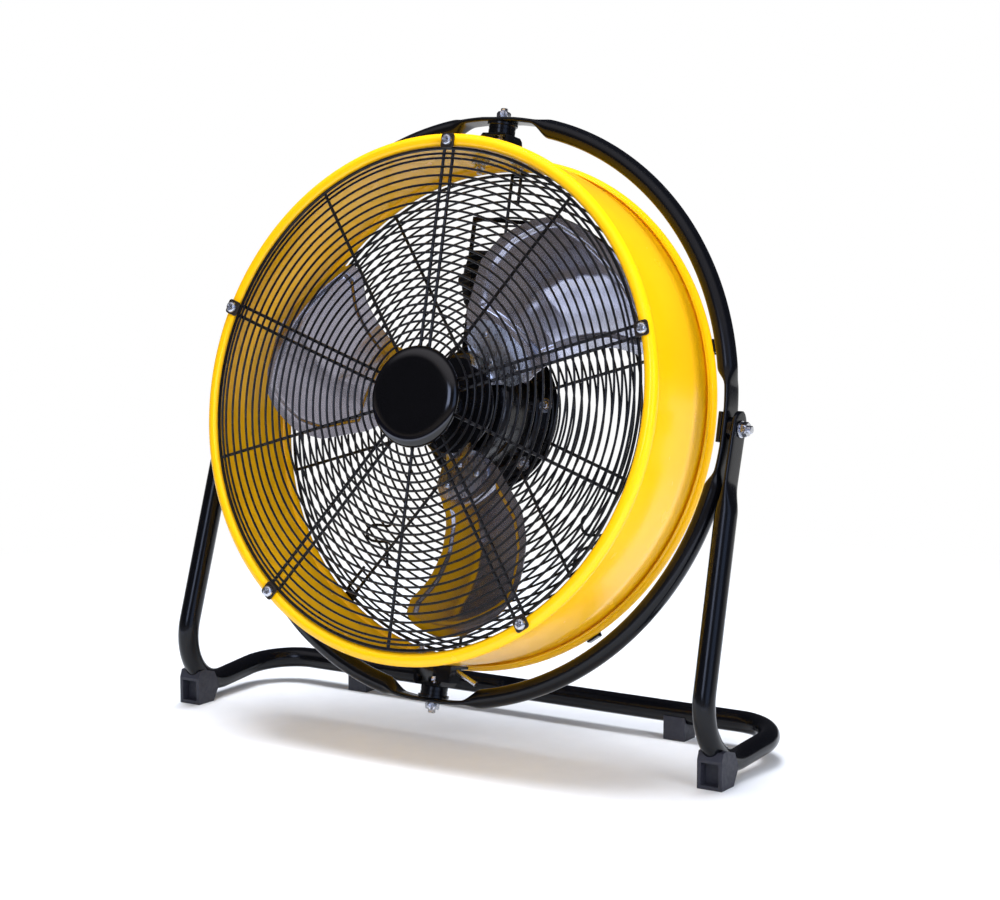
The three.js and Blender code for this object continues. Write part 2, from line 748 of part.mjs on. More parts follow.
// Head and washer hold the rear guard's hub ring and the motor's flange against the plate.
function mountScrew() {
  const washerBack = REAR_RING_Y + WIRE / 2 - REAR_HUB_WIRE - CLEAR;
  const washerFront = washerBack - WASHER;
  return turned(
    [
      [0, washerFront - 3],
      [SCREW_HEAD_R * 0.7, washerFront - 3],
      [SCREW_HEAD_R, washerFront - 1.5],
      [SCREW_HEAD_R, washerFront],
      [MOUNT_WASHER_R, washerFront],
      [MOUNT_WASHER_R, washerBack],
      [MOUNT_SHANK_R, washerBack],
      [MOUNT_SHANK_R, PLATE_Y + PLATE + 3],
      [0, PLATE_Y + PLATE + 3],
    ],
    10,
  ).translate(MOUNT_SCREW_R, 0, 0);
}

// ---------------------------------------------------------------- fan

// The real blade's stations: its shape at the fan's scale, placed from the hub plate.
const BLADE_STATIONS = BLADE_SHAPE.map(([radius, lead, trail, ...behind]) => {
  return [radius * FAN_SCALE, lead, trail, ...behind.map((y) => HUB_Y + y * FAN_SCALE)];
});

// Height of the blades' middle surface at a radius and an angle from the blade's middle.
function bladeY(radius, angle) {
  const lead = between(BLADE_STATIONS, 1, radius);
  const trail = between(BLADE_STATIONS, 2, radius);
  const share = (angle - lead) / (trail - lead);
  const [rear, front] = [3, 4].map((column) => between(BLADE_STATIONS, column, radius));
  return rear + (front - rear) * share;
}

// The arms follow the blades, in front of them, and run flat into the hub plate.
function armY(radius, angle) {
  const onBlade = bladeY(radius, angle) - (BLADE_SHEET + SPIDER_SHEET) / 2 - BLADE_GAP;
  const root = BLADE_STATIONS[0][0];
  const bend = HUB_R - ARM_BEND;
  return mix(HUB_Y, onBlade, (radius - bend) / (root - bend));
}

// A sheet in polar form: rows of [radius, from, to], its middle surface given by height.
function polarSheet(rows, columns, thickness, height, middle) {
  const point = (radius, angle, lift) => {
    const turn = rad(middle + angle);
    return vec(radius * Math.cos(turn), height(radius, angle) + lift, radius * Math.sin(turn));
  };
  const rings = rows.map(([radius, from, to]) => {
    const angles = Array.from({ length: columns }, (_, i) => mix(from, to, i / (columns - 1)));
    const front = angles.map((angle) => point(radius, angle, -thickness / 2));
    const back = angles.reverse().map((angle) => point(radius, angle, thickness / 2));
    return [...front, ...back];
  });
  return stripLoft(rings, columns);
}

// Like loft, with ends that are strips between the front row and the back row of points.
function stripLoft(rings, columns) {
  const body = loft(rings, true);
  const count = 2 * columns;
  const wrap = (rings.length - 1) * count * 6;
  const faces = Array.from(body.index.array).slice(0, wrap);
  for (let k = 0; k < columns - 1; k += 1) {
    const [a, b, c, d] = [k, k + 1, count - 2 - k, count - 1 - k];
    const end = (rings.length - 1) * count;
    faces.push(a, c, b, a, d, c, end + a, end + b, end + c, end + a, end + c, end + d);
  }
  body.setIndex(faces);
  return body;
}

function rivetPlaces(middle) {
  return RIVETS.map(([shapeRadius, angle]) => {
    const radius = shapeRadius * FAN_SCALE;
    const turn = rad(middle + angle);
    return [radius * Math.cos(turn), radius * Math.sin(turn), bladeY(radius, angle)];
  });
}

// The angle of a blade's middle.
function bladeMiddle(i) {
  return FIRST_BLADE + (360 * i) / BLADE_COUNT;
}

function blade(middle) {
  const rows = [];
  BLADE_STATIONS.forEach(([radius, lead, trail], i) => {
    if (i > 0 && radius - rows.at(-1)[0] > LONG_STEP * FAN_SCALE) {
      const halfway = (rows.at(-1)[0] + radius) / 2;
      rows.push([halfway, between(BLADE_STATIONS, 1, halfway), between(BLADE_STATIONS, 2, halfway)]);
    }
    rows.push([radius, lead, trail]);
  });
  let sheet = solid(polarSheet(rows, 7, BLADE_SHEET, bladeY, middle));
  for (const [x, z, y] of rivetPlaces(middle)) {
    sheet = sheet.subtract(solid(rod(vec(x, y - 6, z), vec(x, y + 6, z), RIVET_R + CLEAR, 6)));
  }
  return sheet;
}

function spider() {
  const [front, back] = [HUB_Y - SPIDER_SHEET / 2, HUB_Y + SPIDER_SHEET / 2];
  let body = solid(sleeve(SHAFT_R + CLEAR, HUB_R, front, back, 24));
  for (let i = 0; i < BLADE_COUNT; i += 1) {
    const middle = bladeMiddle(i);
    const arm = ARM_SHAPE.map(([radius, half]) => [radius * FAN_SCALE, -half, half]);
    const rows = [[HUB_R - ARM_ROOT, -ARM_ROOT_ANGLE, ARM_ROOT_ANGLE], ...arm];
    body = body.add(solid(polarSheet(rows, 5, SPIDER_SHEET, armY, middle)));
    for (const [x, z, y] of rivetPlaces(middle)) {
      const head = y - BLADE_SHEET / 2 - BLADE_GAP - SPIDER_SHEET - 2;
      body = body.add(solid(rod(vec(x, head, z), vec(x, y + BLADE_SHEET / 2 + 1, z), RIVET_R, 6)));
    }
  }
  return body;
}

// ---------------------------------------------------------------- ring and its joints

// The gimbal ring: a round tube about the fan's axis, pressed flat at its four seats.
function gimbalRing() {
  const flat = { width: STRAP_WIDTH / 2, half: STRAP / 2, radius: SEAT_R };
  const round = { width: RING_TUBE, half: RING_TUBE, radius: RING_R };
  const seat = [
    [-SEAT_END - SEAT_FADE, round],
    [-SEAT_END, flat],
    [-SEAT_HALF, { ...flat, radius: SEAT_R / Math.cos(SEAT_HALF / RING_R) }],
    [SEAT_HALF, { ...flat, radius: SEAT_R / Math.cos(SEAT_HALF / RING_R) }],
    [SEAT_END, flat],
    [SEAT_END + SEAT_FADE, round],
  ];
  const rings = [];
  for (let quarter = 0; quarter < 4; quarter += 1) {
    const start = (Math.PI / 2) * quarter;
    const stations = seat.map(([along, form]) => [start + along / RING_R, form]);
    const [from, to] = [stations.at(-1)[0], stations[0][0] + Math.PI / 2];
    for (let i = 1; i < RING_STEPS; i += 1) {
      stations.push([from + ((to - from) * i) / RING_STEPS, round]);
    }
    for (const [angle, { width, half, radius }] of stations) {
      const section = pressedSection(width, RING_TUBE, half, 10);
      rings.push(
        section.map(([y, out]) =>
          vec((radius + out) * Math.cos(angle), y, (radius + out) * Math.sin(angle)),
        ),
      );
    }
  }
  const reach = SEAT_R + STRAP;
  const across = rod(vec(-reach, 0, 0), vec(reach, 0, 0), BOLT_R + CLEAR);
  const upright = rod(vec(0, 0, -reach), vec(0, 0, reach), BOLT_R + CLEAR);
  return solid(loft(rings, true)).subtract(solid(across)).subtract(solid(upright));
}

// A swivel bracket: a hat of sheet on the drum's top, whose feet follow the wall.
function bracketProfile() {
  const wall = (x) => Math.sqrt((DRUM_R + CLEAR) ** 2 - x ** 2);
  const [foot, leg] = [BRACKET_WIDTH / 2, BRACKET_CROWN / 2];
  const inner = leg - BRACKET_SHEET;
  const right = [
    [inner, BRACKET_TOP - BRACKET_SHEET],
    [inner, wall(inner)],
    [leg + 3, wall(leg + 3)],
    [foot, wall(foot)],
    [foot, wall(foot) + BRACKET_SHEET],
    [leg + 3, wall(leg) + BRACKET_SHEET + 1],
    [leg, BRACKET_TOP - 4],
    [leg - 3, BRACKET_TOP],
  ];
  const left = right.map(([x, z]) => [-x, z]).reverse();
  return [...right, ...left];
}

function swivelBracket() {
  const hat = plate(bracketProfile(), BRACKET_DEPTH);
  hat.rotateX(Math.PI / 2).translate(0, BRACKET_DEPTH / 2, 0);
  const bore = rod(vec(0, 0, BRACKET_TOP - 8), vec(0, 0, BRACKET_TOP + 4), BOLT_R + CLEAR);
  return solid(hat).subtract(solid(bore));
}

// The lower bracket also carries a block for the lock pin, beside the swivel.
function lowerBracket() {
  const wall = Math.sqrt((DRUM_R + CLEAR) ** 2 - (Math.abs(LOCK_X) - LOCK_WIDTH / 2) ** 2);
  const height = BRACKET_TOP - LOCK_DROP - wall;
  const block = new THREE.BoxGeometry(LOCK_WIDTH, LOCK_DEPTH, height);
  block.translate(LOCK_X, LOCK_Y, wall + height / 2);
  const body = swivelBracket().add(solid(block));
  return body.subtract(solid(lockPinRod(LOCK_PIN_R + CLEAR, 0)));
}

// The pin's axis slants outwards from the block, in the drum's upright plane.
function lockPinRod(radius, start) {
  const side = Math.sign(LOCK_X);
  const from = vec(LOCK_X + 2 * side, LOCK_Y + LOCK_PIN_BACK, DRUM_R + 2 * CLEAR + LOCK_PIN_R / 2);
  const slant = rad(LOCK_PIN_SLANT);
  const along = vec(side * Math.cos(slant), 0, Math.sin(slant));
  const to = from.clone().addScaledVector(along, LOCK_PIN_LENGTH);
  return rod(from.addScaledVector(along, start), to, radius, 8);
}

function swivelSpool() {
  const base = BRACKET_TOP + CLEAR;
  const top = SEAT_R - STRAP / 2 - CLEAR;
  const bore = BOLT_R + CLEAR;
  const spool = turned(
    [
      [bore, base],
      [SPOOL_R, base],
      [SPOOL_R, top - SPOOL_FLANGE],
      [SPOOL_FLANGE_R, top - SPOOL_FLANGE],
      [SPOOL_FLANGE_R, top],
      [bore, top],
    ],
    12,
  );
  return spool.rotateX(Math.PI / 2);
}

function swivelBolt() {
  const seat = BRACKET_TOP - BRACKET_SHEET - CLEAR;
  const head = plate(polygon(NUT_ACROSS / Math.sqrt(3), 6), HEAD).translate(0, 0, seat - HEAD);
  const tip = NUT_SEAT + NUT + BOLT_PROUD;
  return joined(head, rod(vec(0, 0, seat - 1), vec(0, 0, tip), BOLT_R));
}

function swivelNut() {
  return hexNut(NUT_ACROSS, BOLT_R + CLEAR, NUT).translate(0, 0, NUT_SEAT);
}

// Right tilt joint, along +x: a square-sided plate inside the ring with the bolt on it.
function tiltBolt() {
  const seat = SEAT_R - STRAP / 2 - CLEAR;
  const head = new THREE.BoxGeometry(TILT_PLATE, TILT_PLATE_WIDTH, TILT_PLATE_HEIGHT);
  head.translate(seat - TILT_PLATE / 2, 0, 1);
  const tip = STRAP_X + STRAP / 2 + CLEAR + WASHER + NUT + BOLT_PROUD;
  return joined(head, rod(vec(seat - 1, 0, 0), vec(tip, 0, 0), BOLT_R));
}

function tiltSpacer() {
  const from = SEAT_R + STRAP / 2 + CLEAR;
  return sleeve(BOLT_R + CLEAR, SPACER_R, from, from + SPACER, 12)
    .rotateZ(-Math.PI / 2);
}

function tiltNut() {
  const seat = STRAP_X + STRAP / 2 + CLEAR;
  const nut = hexNut(NUT_ACROSS, BOLT_R + CLEAR, NUT + 0.5).rotateY(Math.PI / 2);
  nut.translate(seat + WASHER - 0.5, 0, 0);
  const washer = sleeve(BOLT_R + CLEAR, WASHER_R, seat, seat + WASHER, 12);
  return joined(nut, washer.rotateZ(-Math.PI / 2));
}

// ---------------------------------------------------------------- stand

// A polyline with its inner corners rounded: [point, radius] in, points out.
function rounded(corners, steps) {
  const points = [corners[0][0]];
  for (let i = 1; i < corners.length - 1; i += 1) {
    const [corner, radius] = corners[i];
    const before = corners[i - 1][0].clone().sub(corner).normalize();
    const after = corners[i + 1][0].clone().sub(corner).normalize();
    const half = before.angleTo(after) / 2;
    const inward = before.clone().add(after).normalize();
    const centre = corner.clone().addScaledVector(inward, radius / Math.sin(half));
    const start = corner.clone().addScaledVector(before, radius / Math.tan(half)).sub(centre);
    const axis = before.clone().cross(after).normalize();
    const turn = Math.PI - 2 * half;
    for (let k = 0; k <= steps; k += 1) {
      const arm = start.clone().applyAxisAngle(axis, (-turn * k) / steps);
      points.push(centre.clone().add(arm));
    }
  }
  points.push(corners.at(-1)[0]);
  return points;
}

// Rings of points square to a path, carried along it without twisting.
function tubeRings(points, sectionAt, firstThin) {
  let thin = firstThin.clone();
  return points.map((point, i) => {
    const back = points[Math.max(i - 1, 0)];
    const ahead = points[Math.min(i + 1, points.length - 1)];
    const into = point.clone().sub(back).normalize();
    const out = ahead.clone().sub(point).normalize();
    const tangent = into.add(out).normalize();
    thin = thin.clone().addScaledVector(tangent, -thin.dot(tangent)).normalize();
    const wide = tangent.clone().cross(thin);
    return sectionAt(i).map(([u, v]) =>
      point.clone().addScaledVector(wide, u).addScaledVector(thin, v),
    );
  });
}

// A point on the upright's line, s below the tilt axis, in the part's frame.
function onUpright(x, s) {
  return vec(x, PIVOT_Y - s * Math.sin(rad(LEAN)), PIVOT_Z - s * Math.cos(rad(LEAN)));
}

// Where the right upright and side tube would meet without their bend.
function meetingPoint() {
  return onUpright(FOOT_X, (PIVOT_Z - BEND_Z) / Math.cos(rad(LEAN)));
}

// The right half of the stand, from the strap's tip to the middle of the rear bar.
function standHalf(grow) {
  const round = STRAP_WIDTH / 2;
  const tip = -STRAP_TOP;
  const strap = [0.4, 2, 5.5, round].map((t) => [
    tip + t,
    Math.sqrt(round ** 2 - (round - t) ** 2),
    STRAP / 2,
  ]);
  strap.push([STRAP_RUN, round, STRAP / 2]);
  strap.push([STRAP_RUN + STRAP_FADE / 2, mix(round, TUBE_R, 0.5), mix(STRAP / 2, TUBE_R, 0.6)]);
  const straight = strap.map(([s]) => onUpright(STRAP_X, s));
  const below = rounded(
    [
      [onUpright(STRAP_X, STRAP_RUN + STRAP_FADE), 0],
      [meetingPoint(), BEND_R],
      [vec(CORNER_X, PIVOT_Y + REAR_BAR_Y, REAR_BAR_Z), CORNER_R],
      [vec(0, PIVOT_Y + REAR_BAR_Y, REAR_BAR_Z), 0],
    ],
    7,
  );
  const sectionAt = (i) => {
    const [, width, half] = strap[i] ?? [0, TUBE_R, TUBE_R];
    return pressedSection(width + grow, TUBE_R + grow, half + grow, 10);
  };
  const rings = tubeRings([...straight, ...below], sectionAt, vec(1, 0, 0));
  for (const point of rings.at(-1)) point.x = 0;
  return rings;
}

function standTube(grow = 0) {
  const right = standHalf(grow);
  const left = right.slice(0, -1).map((ring) => ring.map((p) => vec(-p.x, p.y, p.z)));
  return solid(loft([...right, ...left.reverse()]));
}

function standFrame() {
  const reach = STRAP_X + STRAP;
  const bore = rod(vec(-reach, PIVOT_Y, PIVOT_Z), vec(reach, PIVOT_Y, PIVOT_Z), BOLT_R + CLEAR);
  return standTube().subtract(solid(bore));
}

// A moulded foot under the bend of an upright, cut to seat the tube.
function frontFoot(tube, side) {
  const front = meetingPoint().y + FRONT_FOOT_SETBACK;
  const [back, top] = [front + FRONT_FOOT_DEPTH, FRONT_FOOT_HEIGHT];
  const profile = [
    [front, 0],
    [back - 10, 0],
    [back, top - 21],
    [back - 8, top - 5],
    [front + 10, top],
    [front + 3, top - 1],
    [front, top - 9],
  ];
  const body = plate(profile, FRONT_FOOT_WIDTH).rotateY(Math.PI / 2).rotateX(Math.PI / 2);
  body.translate(side * (FOOT_X + 2) - FRONT_FOOT_WIDTH / 2, 0, 0);
  const recess = new THREE.BoxGeometry(FOOT_RECESS, 2 * FOOT_RECESS_DEPTH, FOOT_RECESS_HEIGHT);
  recess.translate(side * (FOOT_X + 2), front, FOOT_RECESS_MIDDLE);
  return solid(body).subtract(solid(recess)).subtract(tube);
}

function rearFoot(tube, side) {
  const top = REAR_BAR_Z - TUBE_R + REAR_FOOT_GRIP;
  const block = new THREE.BoxGeometry(REAR_FOOT_WIDTH, REAR_FOOT_DEPTH, top);
  block.translate(side * REAR_FOOT_X, PIVOT_Y + REAR_BAR_Y, top / 2);
  return solid(block).subtract(tube);
}

// ---------------------------------------------------------------- switch box

function switchBox() {
  const [w, h, bulge] = [BOX_HALF_WIDTH, BOX_HALF_HEIGHT, BOX_BULGE];
  const right = [
    [w - 4, -h],
    [w, -h + 4],
    [w + bulge, -h / 3],
    [w + bulge, h / 3],
    [w, h - 3],
    [w - 3, h],
  ];
  const outline = [...right, ...right.map(([x, z]) => [-x, z]).reverse()];
  const body = plate(outline, BOX_DEPTH).rotateX(Math.PI / 2);
  body.translate(BOX_X, BOX_Y + BOX_DEPTH, BOX_Z);
  const back = BOX_Y + BOX_DEPTH;
  const stem = rod(vec(BOX_X, back - KNOB_STEM, BOX_Z), vec(BOX_X, back + 1, BOX_Z), KNOB_STEM_R + CLEAR);
  return solid(body).subtract(solid(stem));
}

// The knob turns on a stem in the back of the box; its ridge is the pointer.
function speedKnob() {
  const back = BOX_Y + BOX_DEPTH;
  const body = turned(
    [
      [0, back - KNOB_STEM + CLEAR],
      [KNOB_STEM_R, back - KNOB_STEM + CLEAR],
      [KNOB_STEM_R, back + CLEAR],
      [KNOB_R, back + CLEAR],
      [KNOB_R, back + 4],
      [KNOB_R - 3, back + 5],
      [KNOB_R - 4, back + KNOB_LENGTH - 2],
      [0, back + KNOB_LENGTH - 2],
    ],
    18,
  ).translate(BOX_X, 0, BOX_Z);
  const ridge = new THREE.BoxGeometry(5, KNOB_LENGTH - 5, KNOB_R * 1.7);
  ridge.translate(BOX_X, back + 5 + (KNOB_LENGTH - 5) / 2, BOX_Z);
  return joined(body, ridge);
}

function cableGland() {
  const seat = BOX_X - BOX_HALF_WIDTH - BOX_BULGE - CLEAR;
  const gland = turned(
    [
      [3.5, 0],
      [GLAND_R, 0],
      [GLAND_R, 5],
      [GLAND_R - 1.5, 5.5],
      [GLAND_R - 2, GLAND_LENGTH],
      [3.5, GLAND_LENGTH],
    ],
    12,
  );
  return gland.rotateZ(Math.PI / 2).translate(seat, BOX_Y + BOX_DEPTH / 2, BOX_Z);
}

// ---------------------------------------------------------------- assembly

add(drum, "drum_shell", drumShell(), YELLOW);
add(drum, "front_guard", guard(-1, FRONT_HUB_RING, WIRE, true), BLACK);
add(drum, "rear_guard", rearGuard(), BLACK);
add(drum, "guard_cap", guardCap(), PLASTIC);
clipAngles().forEach((angle, i) => {
  const pieces = [
    add(drum, `front_clip_${i + 1}`, frontClip(), BLACK),
    add(drum, `front_clip_screw_${i + 1}`, clipScrew(), ZINC),
    add(drum, `rear_clip_${i + 1}`, rearClip(), BLACK),
  ];
  for (const piece of pieces) piece.rotation.y = -angle;
});

add(drum, "motor_housing", motorHousing(), BLACK);
add(drum, "motor_cover", motorCover(), BLACK);
const stator = sleeve(STATOR_BORE, MOTOR_R - MOTOR_WALL - CLEAR, STACK_START, STACK_END, 24);
add(drum, "motor_stator", stator, COPPER);
const rotor = sleeve(SHAFT_R + CLEAR, STATOR_BORE - AIR_GAP, STACK_START, STACK_END, 20);
add(drum, "motor_rotor", rotor, ZINC);
add(drum, "motor_shaft", motorShaft(), ZINC);
add(drum, "bearing_front", bearing(FRONT_BEARING), ZINC);
add(drum, "bearing_rear", bearing(REAR_BEARING - BEARING_LENGTH), ZINC);
add(drum, "motor_mount_plate", mountPlate(), BLACK);
MOUNT_SCREW_ANGLES.forEach((angle, i) => {
  add(drum, `mount_screw_${i + 1}`, mountScrew(), ZINC).rotation.y = -rad(angle);
});

add(drum, "fan_spider", spider(), SHEET);
for (let i = 0; i < BLADE_COUNT; i += 1) {
  add(drum, `blade_${i + 1}`, blade(bladeMiddle(i)), SHEET);
}
const fanNut = hexNut(FAN_NUT_ACROSS, SHAFT_R + CLEAR, FAN_NUT).rotateX(Math.PI / 2);
add(drum, "fan_hub_nut", fanNut.translate(0, HUB_Y - SPIDER_SHEET / 2 - CLEAR, 0), ZINC);

add(drum, "gimbal_ring", gimbalRing(), BLACK);
for (const [place, turn] of [["upper", 0], ["lower", Math.PI]]) {
  const bracket = turn ? lowerBracket() : swivelBracket();
  add(drum, `${place}_swivel_bracket`, bracket, BLACK).rotation.y = turn;
  add(drum, `${place}_swivel_spool`, swivelSpool(), BLACK).rotation.y = turn;
  add(drum, `${place}_swivel_bolt`, swivelBolt(), ZINC).rotation.y = turn;
  add(drum, `${place}_swivel_nut`, swivelNut(), ZINC).rotation.y = turn;
}
add(drum, "swivel_lock_pin", lockPinRod(LOCK_PIN_R, 3), ZINC).rotation.y = Math.PI;
for (const [place, turn] of [["right", 0], ["left", Math.PI]]) {
  add(drum, `tilt_bolt_${place}`, tiltBolt(), ZINC).rotation.y = turn;
  add(drum, `tilt_spacer_${place}`, tiltSpacer(), BLACK).rotation.y = turn;
  add(drum, `tilt_nut_${place}`, tiltNut(), ZINC).rotation.y = turn;
}

add(drum, "switch_box", switchBox(), PLASTIC);
add(drum, "speed_knob", speedKnob(), PLASTIC);
add(drum, "cable_gland", cableGland(), ZINC);

add(part, "stand_frame", standFrame(), BLACK);
const seatTube = standTube(CLEAR);
for (const [place, side] of [["right", 1], ["left", -1]]) {
  add(part, `front_foot_${place}`, frontFoot(seatTube, side), RUBBER);
  add(part, `rear_foot_${place}`, rearFoot(seatTube, side), RUBBER);
}

export default part;
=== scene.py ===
import math

import bmesh
import bpy
import numpy as np
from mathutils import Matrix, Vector


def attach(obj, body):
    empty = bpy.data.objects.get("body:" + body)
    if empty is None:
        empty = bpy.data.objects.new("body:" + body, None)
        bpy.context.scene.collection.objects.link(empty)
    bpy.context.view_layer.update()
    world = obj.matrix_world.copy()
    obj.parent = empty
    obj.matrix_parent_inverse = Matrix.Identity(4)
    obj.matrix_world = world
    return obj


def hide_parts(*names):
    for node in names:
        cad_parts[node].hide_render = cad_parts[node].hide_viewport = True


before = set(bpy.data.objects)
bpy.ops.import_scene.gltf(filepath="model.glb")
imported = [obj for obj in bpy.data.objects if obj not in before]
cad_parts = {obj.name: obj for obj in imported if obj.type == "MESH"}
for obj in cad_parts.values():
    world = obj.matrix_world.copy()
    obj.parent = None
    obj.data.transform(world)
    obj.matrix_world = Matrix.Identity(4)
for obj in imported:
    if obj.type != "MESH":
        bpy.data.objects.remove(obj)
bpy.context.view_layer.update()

MM = 0.001

# ---------------------------------------------------------------- frames and sizes, in mm

PIVOT_Y, PIVOT_Z = 11.9, 341.0  # tilt axis
REST_TILT = math.radians(12.7)  # the drum blows a little upwards at rest
LEAN = math.radians(16.5)  # the uprights lean forwards
CLIP_ANGLES = np.array([90.0, 18.0, -54.0, -126.0, 162.0])
HALFWAY = CLIP_ANGLES + 36.0
BLADE_MIDDLES = (48.0, 168.0, -72.0)


def drum(points):
    """Points of the drum's own frame, whose y is the fan's axis, tipped back about the tilt axis."""
    p = np.asarray(points, float)
    c, s = math.cos(REST_TILT), math.sin(REST_TILT)
    x, y, z = p[..., 0], p[..., 1], p[..., 2]
    return np.stack([x, PIVOT_Y + y * c + z * s, PIVOT_Z - y * s + z * c], -1)


def polar(radius, degrees, y, side=0.0):
    """A point at a radius and an angle about the fan's axis, moved sideways by side."""
    a = np.radians(degrees)
    x = radius * np.cos(a) - side * np.sin(a)
    z = radius * np.sin(a) + side * np.cos(a)
    return np.stack(np.broadcast_arrays(x, np.asarray(y, float), z), -1)


def ease(x, start, end):
    """0 before start, 1 after end, and a smooth step between them."""
    t = np.clip((np.asarray(x, float) - start) / (end - start), 0, 1)
    return t * t * (3 - 2 * t)


# ---------------------------------------------------------------- surfaces


def grid(points, loop_u=False, loop_v=False):
    """Quads between neighbours of an (n, m) grid of points; a loop joins its last row to its first."""
    n, m = points.shape[:2]
    ids = np.arange(n * m).reshape(n, m)
    near_u, far_u = (ids, np.roll(ids, -1, 0)) if loop_u else (ids[:-1], ids[1:])

    def pair(rows):
        return (rows, np.roll(rows, -1, 1)) if loop_v else (rows[:, :-1], rows[:, 1:])

    (a, b), (d, c) = pair(near_u), pair(far_u)
    quads = np.stack([a, b, c, d], -1).reshape(-1, 4)
    return points.reshape(-1, 3), [quads]


def closed_ends(points):
    """A tube of quads over (stations, section) points, its two ends closed by flat faces."""
    verts, faces = grid(points, False, True)
    stations, sides = points.shape[:2]
    ring = np.arange(sides)
    return verts, faces + [ring[None, ::-1], (stations - 1) * sides + ring[None]]


def turned(profile, steps=96, loop=False, wobble=None):
    """A profile of (radius, y) rows carried round the y axis; radius 0 closes a pole."""
    p = np.asarray(profile, float)
    a = np.linspace(0, 2 * np.pi, steps, endpoint=False)[:, None]
    r = np.broadcast_to(p[:, 0], (steps, len(p)))
    if wobble is not None:
        r = wobble(a, r, p)
    y = np.broadcast_to(p[:, 1], r.shape)
    return grid(np.stack([r * np.cos(a), y, r * np.sin(a)], -1), True, loop)


def torus(radius, y, wire, steps=144, sides=8):
    """A wire ring: a circle of the wire's radius carried round the fan's axis."""
    b = np.linspace(0, 2 * np.pi, sides, endpoint=False)
    return turned(np.stack([radius + wire * np.cos(b), y + wire * np.sin(b)], -1), steps, True)


def bars(start, end, wire, sides=8):
    """Straight wires, all at once: a circle round each line from a start to an end, ends closed."""
    start, end = np.atleast_2d(start).astype(float), np.atleast_2d(end).astype(float)
    along = end - start
    along /= np.linalg.norm(along, axis=1, keepdims=True)
    ref = np.where(np.abs(along[:, 1:2]) > 0.9, [[1.0, 0, 0]], [[0, 1.0, 0]])
    u = np.cross(along, ref)
    u /= np.linalg.norm(u, axis=1, keepdims=True)
    v = np.cross(along, u)
    b = np.linspace(0, 2 * np.pi, sides, endpoint=False)
    ring = wire * (np.cos(b)[:, None] * u[:, None] + np.sin(b)[:, None] * v[:, None])
    points = np.stack([start[:, None] + ring, end[:, None] + ring], 1)
    n = len(start)
    ids = np.arange(n * 2 * sides).reshape(n, 2, sides)
    nxt = np.roll(ids, -1, 2)
    quads = np.stack([ids[:, 0], nxt[:, 0], nxt[:, 1], ids[:, 1]], -1).reshape(-1, 4)
    return points.reshape(-1, 3), [quads, ids[:, 0, ::-1], ids[:, 1]]


def smooth_path(knots, count):
    """A Catmull-Rom curve through the knots, sampled evenly in its parameter, for any columns."""
    k = np.asarray(knots, float)
    k = np.concatenate([2 * k[:1] - k[1:2], k, 2 * k[-1:] - k[-2:-1]])
    t = np.linspace(0, len(k) - 3 - 1e-9, count)
    i = t.astype(int)
    f = (t - i)[:, None]
    a, b, c, d = k[i], k[i + 1], k[i + 2], k[i + 3]
    return 0.5 * (2 * b + (c - a) * f + (2 * a - 5 * b + 4 * c - d) * f**2
                  + (3 * b - a - 3 * c + d) * f**3)


def carried(path, sections, first_side):
    """A section carried along a path without twisting: the side direction is moved from station
    to station and kept square to the path. sections is (stations, points, 2)."""
    path = np.asarray(path, float)
    tangent = np.gradient(path, axis=0)
    tangent /= np.linalg.norm(tangent, axis=1, keepdims=True)
    side = np.empty_like(path)
    now = np.asarray(first_side, float)
    for i, t in enumerate(tangent):
        now = now - t * (now @ t)
        now = now / np.linalg.norm(now)
        side[i] = now
    wide = np.cross(tangent, side)
    s = np.broadcast_to(sections, (len(path),) + np.shape(sections)[-2:])
    return closed_ends(path[:, None] + s[..., :1] * wide[:, None] + s[..., 1:] * side[:, None])


def circle(radius, sides=12):
    """A round section."""
    b = np.linspace(0, 2 * np.pi, sides, endpoint=False)
    return np.stack([radius * np.cos(b), radius * np.sin(b)], -1)


def pressed(weight, flat, tube, sides=32):
    """The section of a tube pressed flat: between a circle (weight 0) and a rounded bar (weight 1).
    The bar is a superellipse of half width flat[0] and half thickness flat[1]."""
    b = np.linspace(0, 2 * np.pi, sides, endpoint=False)
    c, s = np.cos(b), np.sin(b)
    round_part = tube * np.stack([c, s], -1)
    bar = np.stack([flat[0] * np.sign(c) * np.abs(c) ** 0.5, flat[1] * np.sign(s) * np.abs(s) ** 0.35], -1)
    w = np.asarray(weight, float)[:, None, None]
    return (1 - w) * round_part + w * bar


def prism(outline, y0, y1):
    """An outline of (x, z) rows carried from y0 to y1, with flat ends."""
    o = np.asarray(outline, float)
    rows = [np.stack([o[:, 0], np.full(len(o), y), o[:, 1]], -1) for y in (y0, y1)]
    return closed_ends(np.stack(rows))


def block(x0, x1, y0, y1, z0, z1):
    """A plain box between two corners, for a bevel to round."""
    return prism([(x0, z0), (x1, z0), (x1, z1), (x0, z1)], y0, y1)


def closed_sheet(front, back):
    """The two faces of a sheet, as grids of points, joined round their outline."""
    rows, columns = front.shape[:2]
    verts, faces = grid(np.concatenate([front, back[:, ::-1]], 1), False, True)
    k = np.arange(columns - 1)
    first = np.stack([k, k + 1, 2 * columns - 2 - k, 2 * columns - 1 - k], -1)
    return verts, faces + [first[:, ::-1], first + (rows - 1) * 2 * columns]


def thread(radius, start, end, count, depth=0.25):
    """Rows of a thread of 1 mm pitch: the radius falls by depth and rises again, as a saw-tooth."""
    y = np.linspace(start, end, count)
    return np.stack([radius - depth + depth * np.abs(2 * (y % 1) - 1), y], -1)


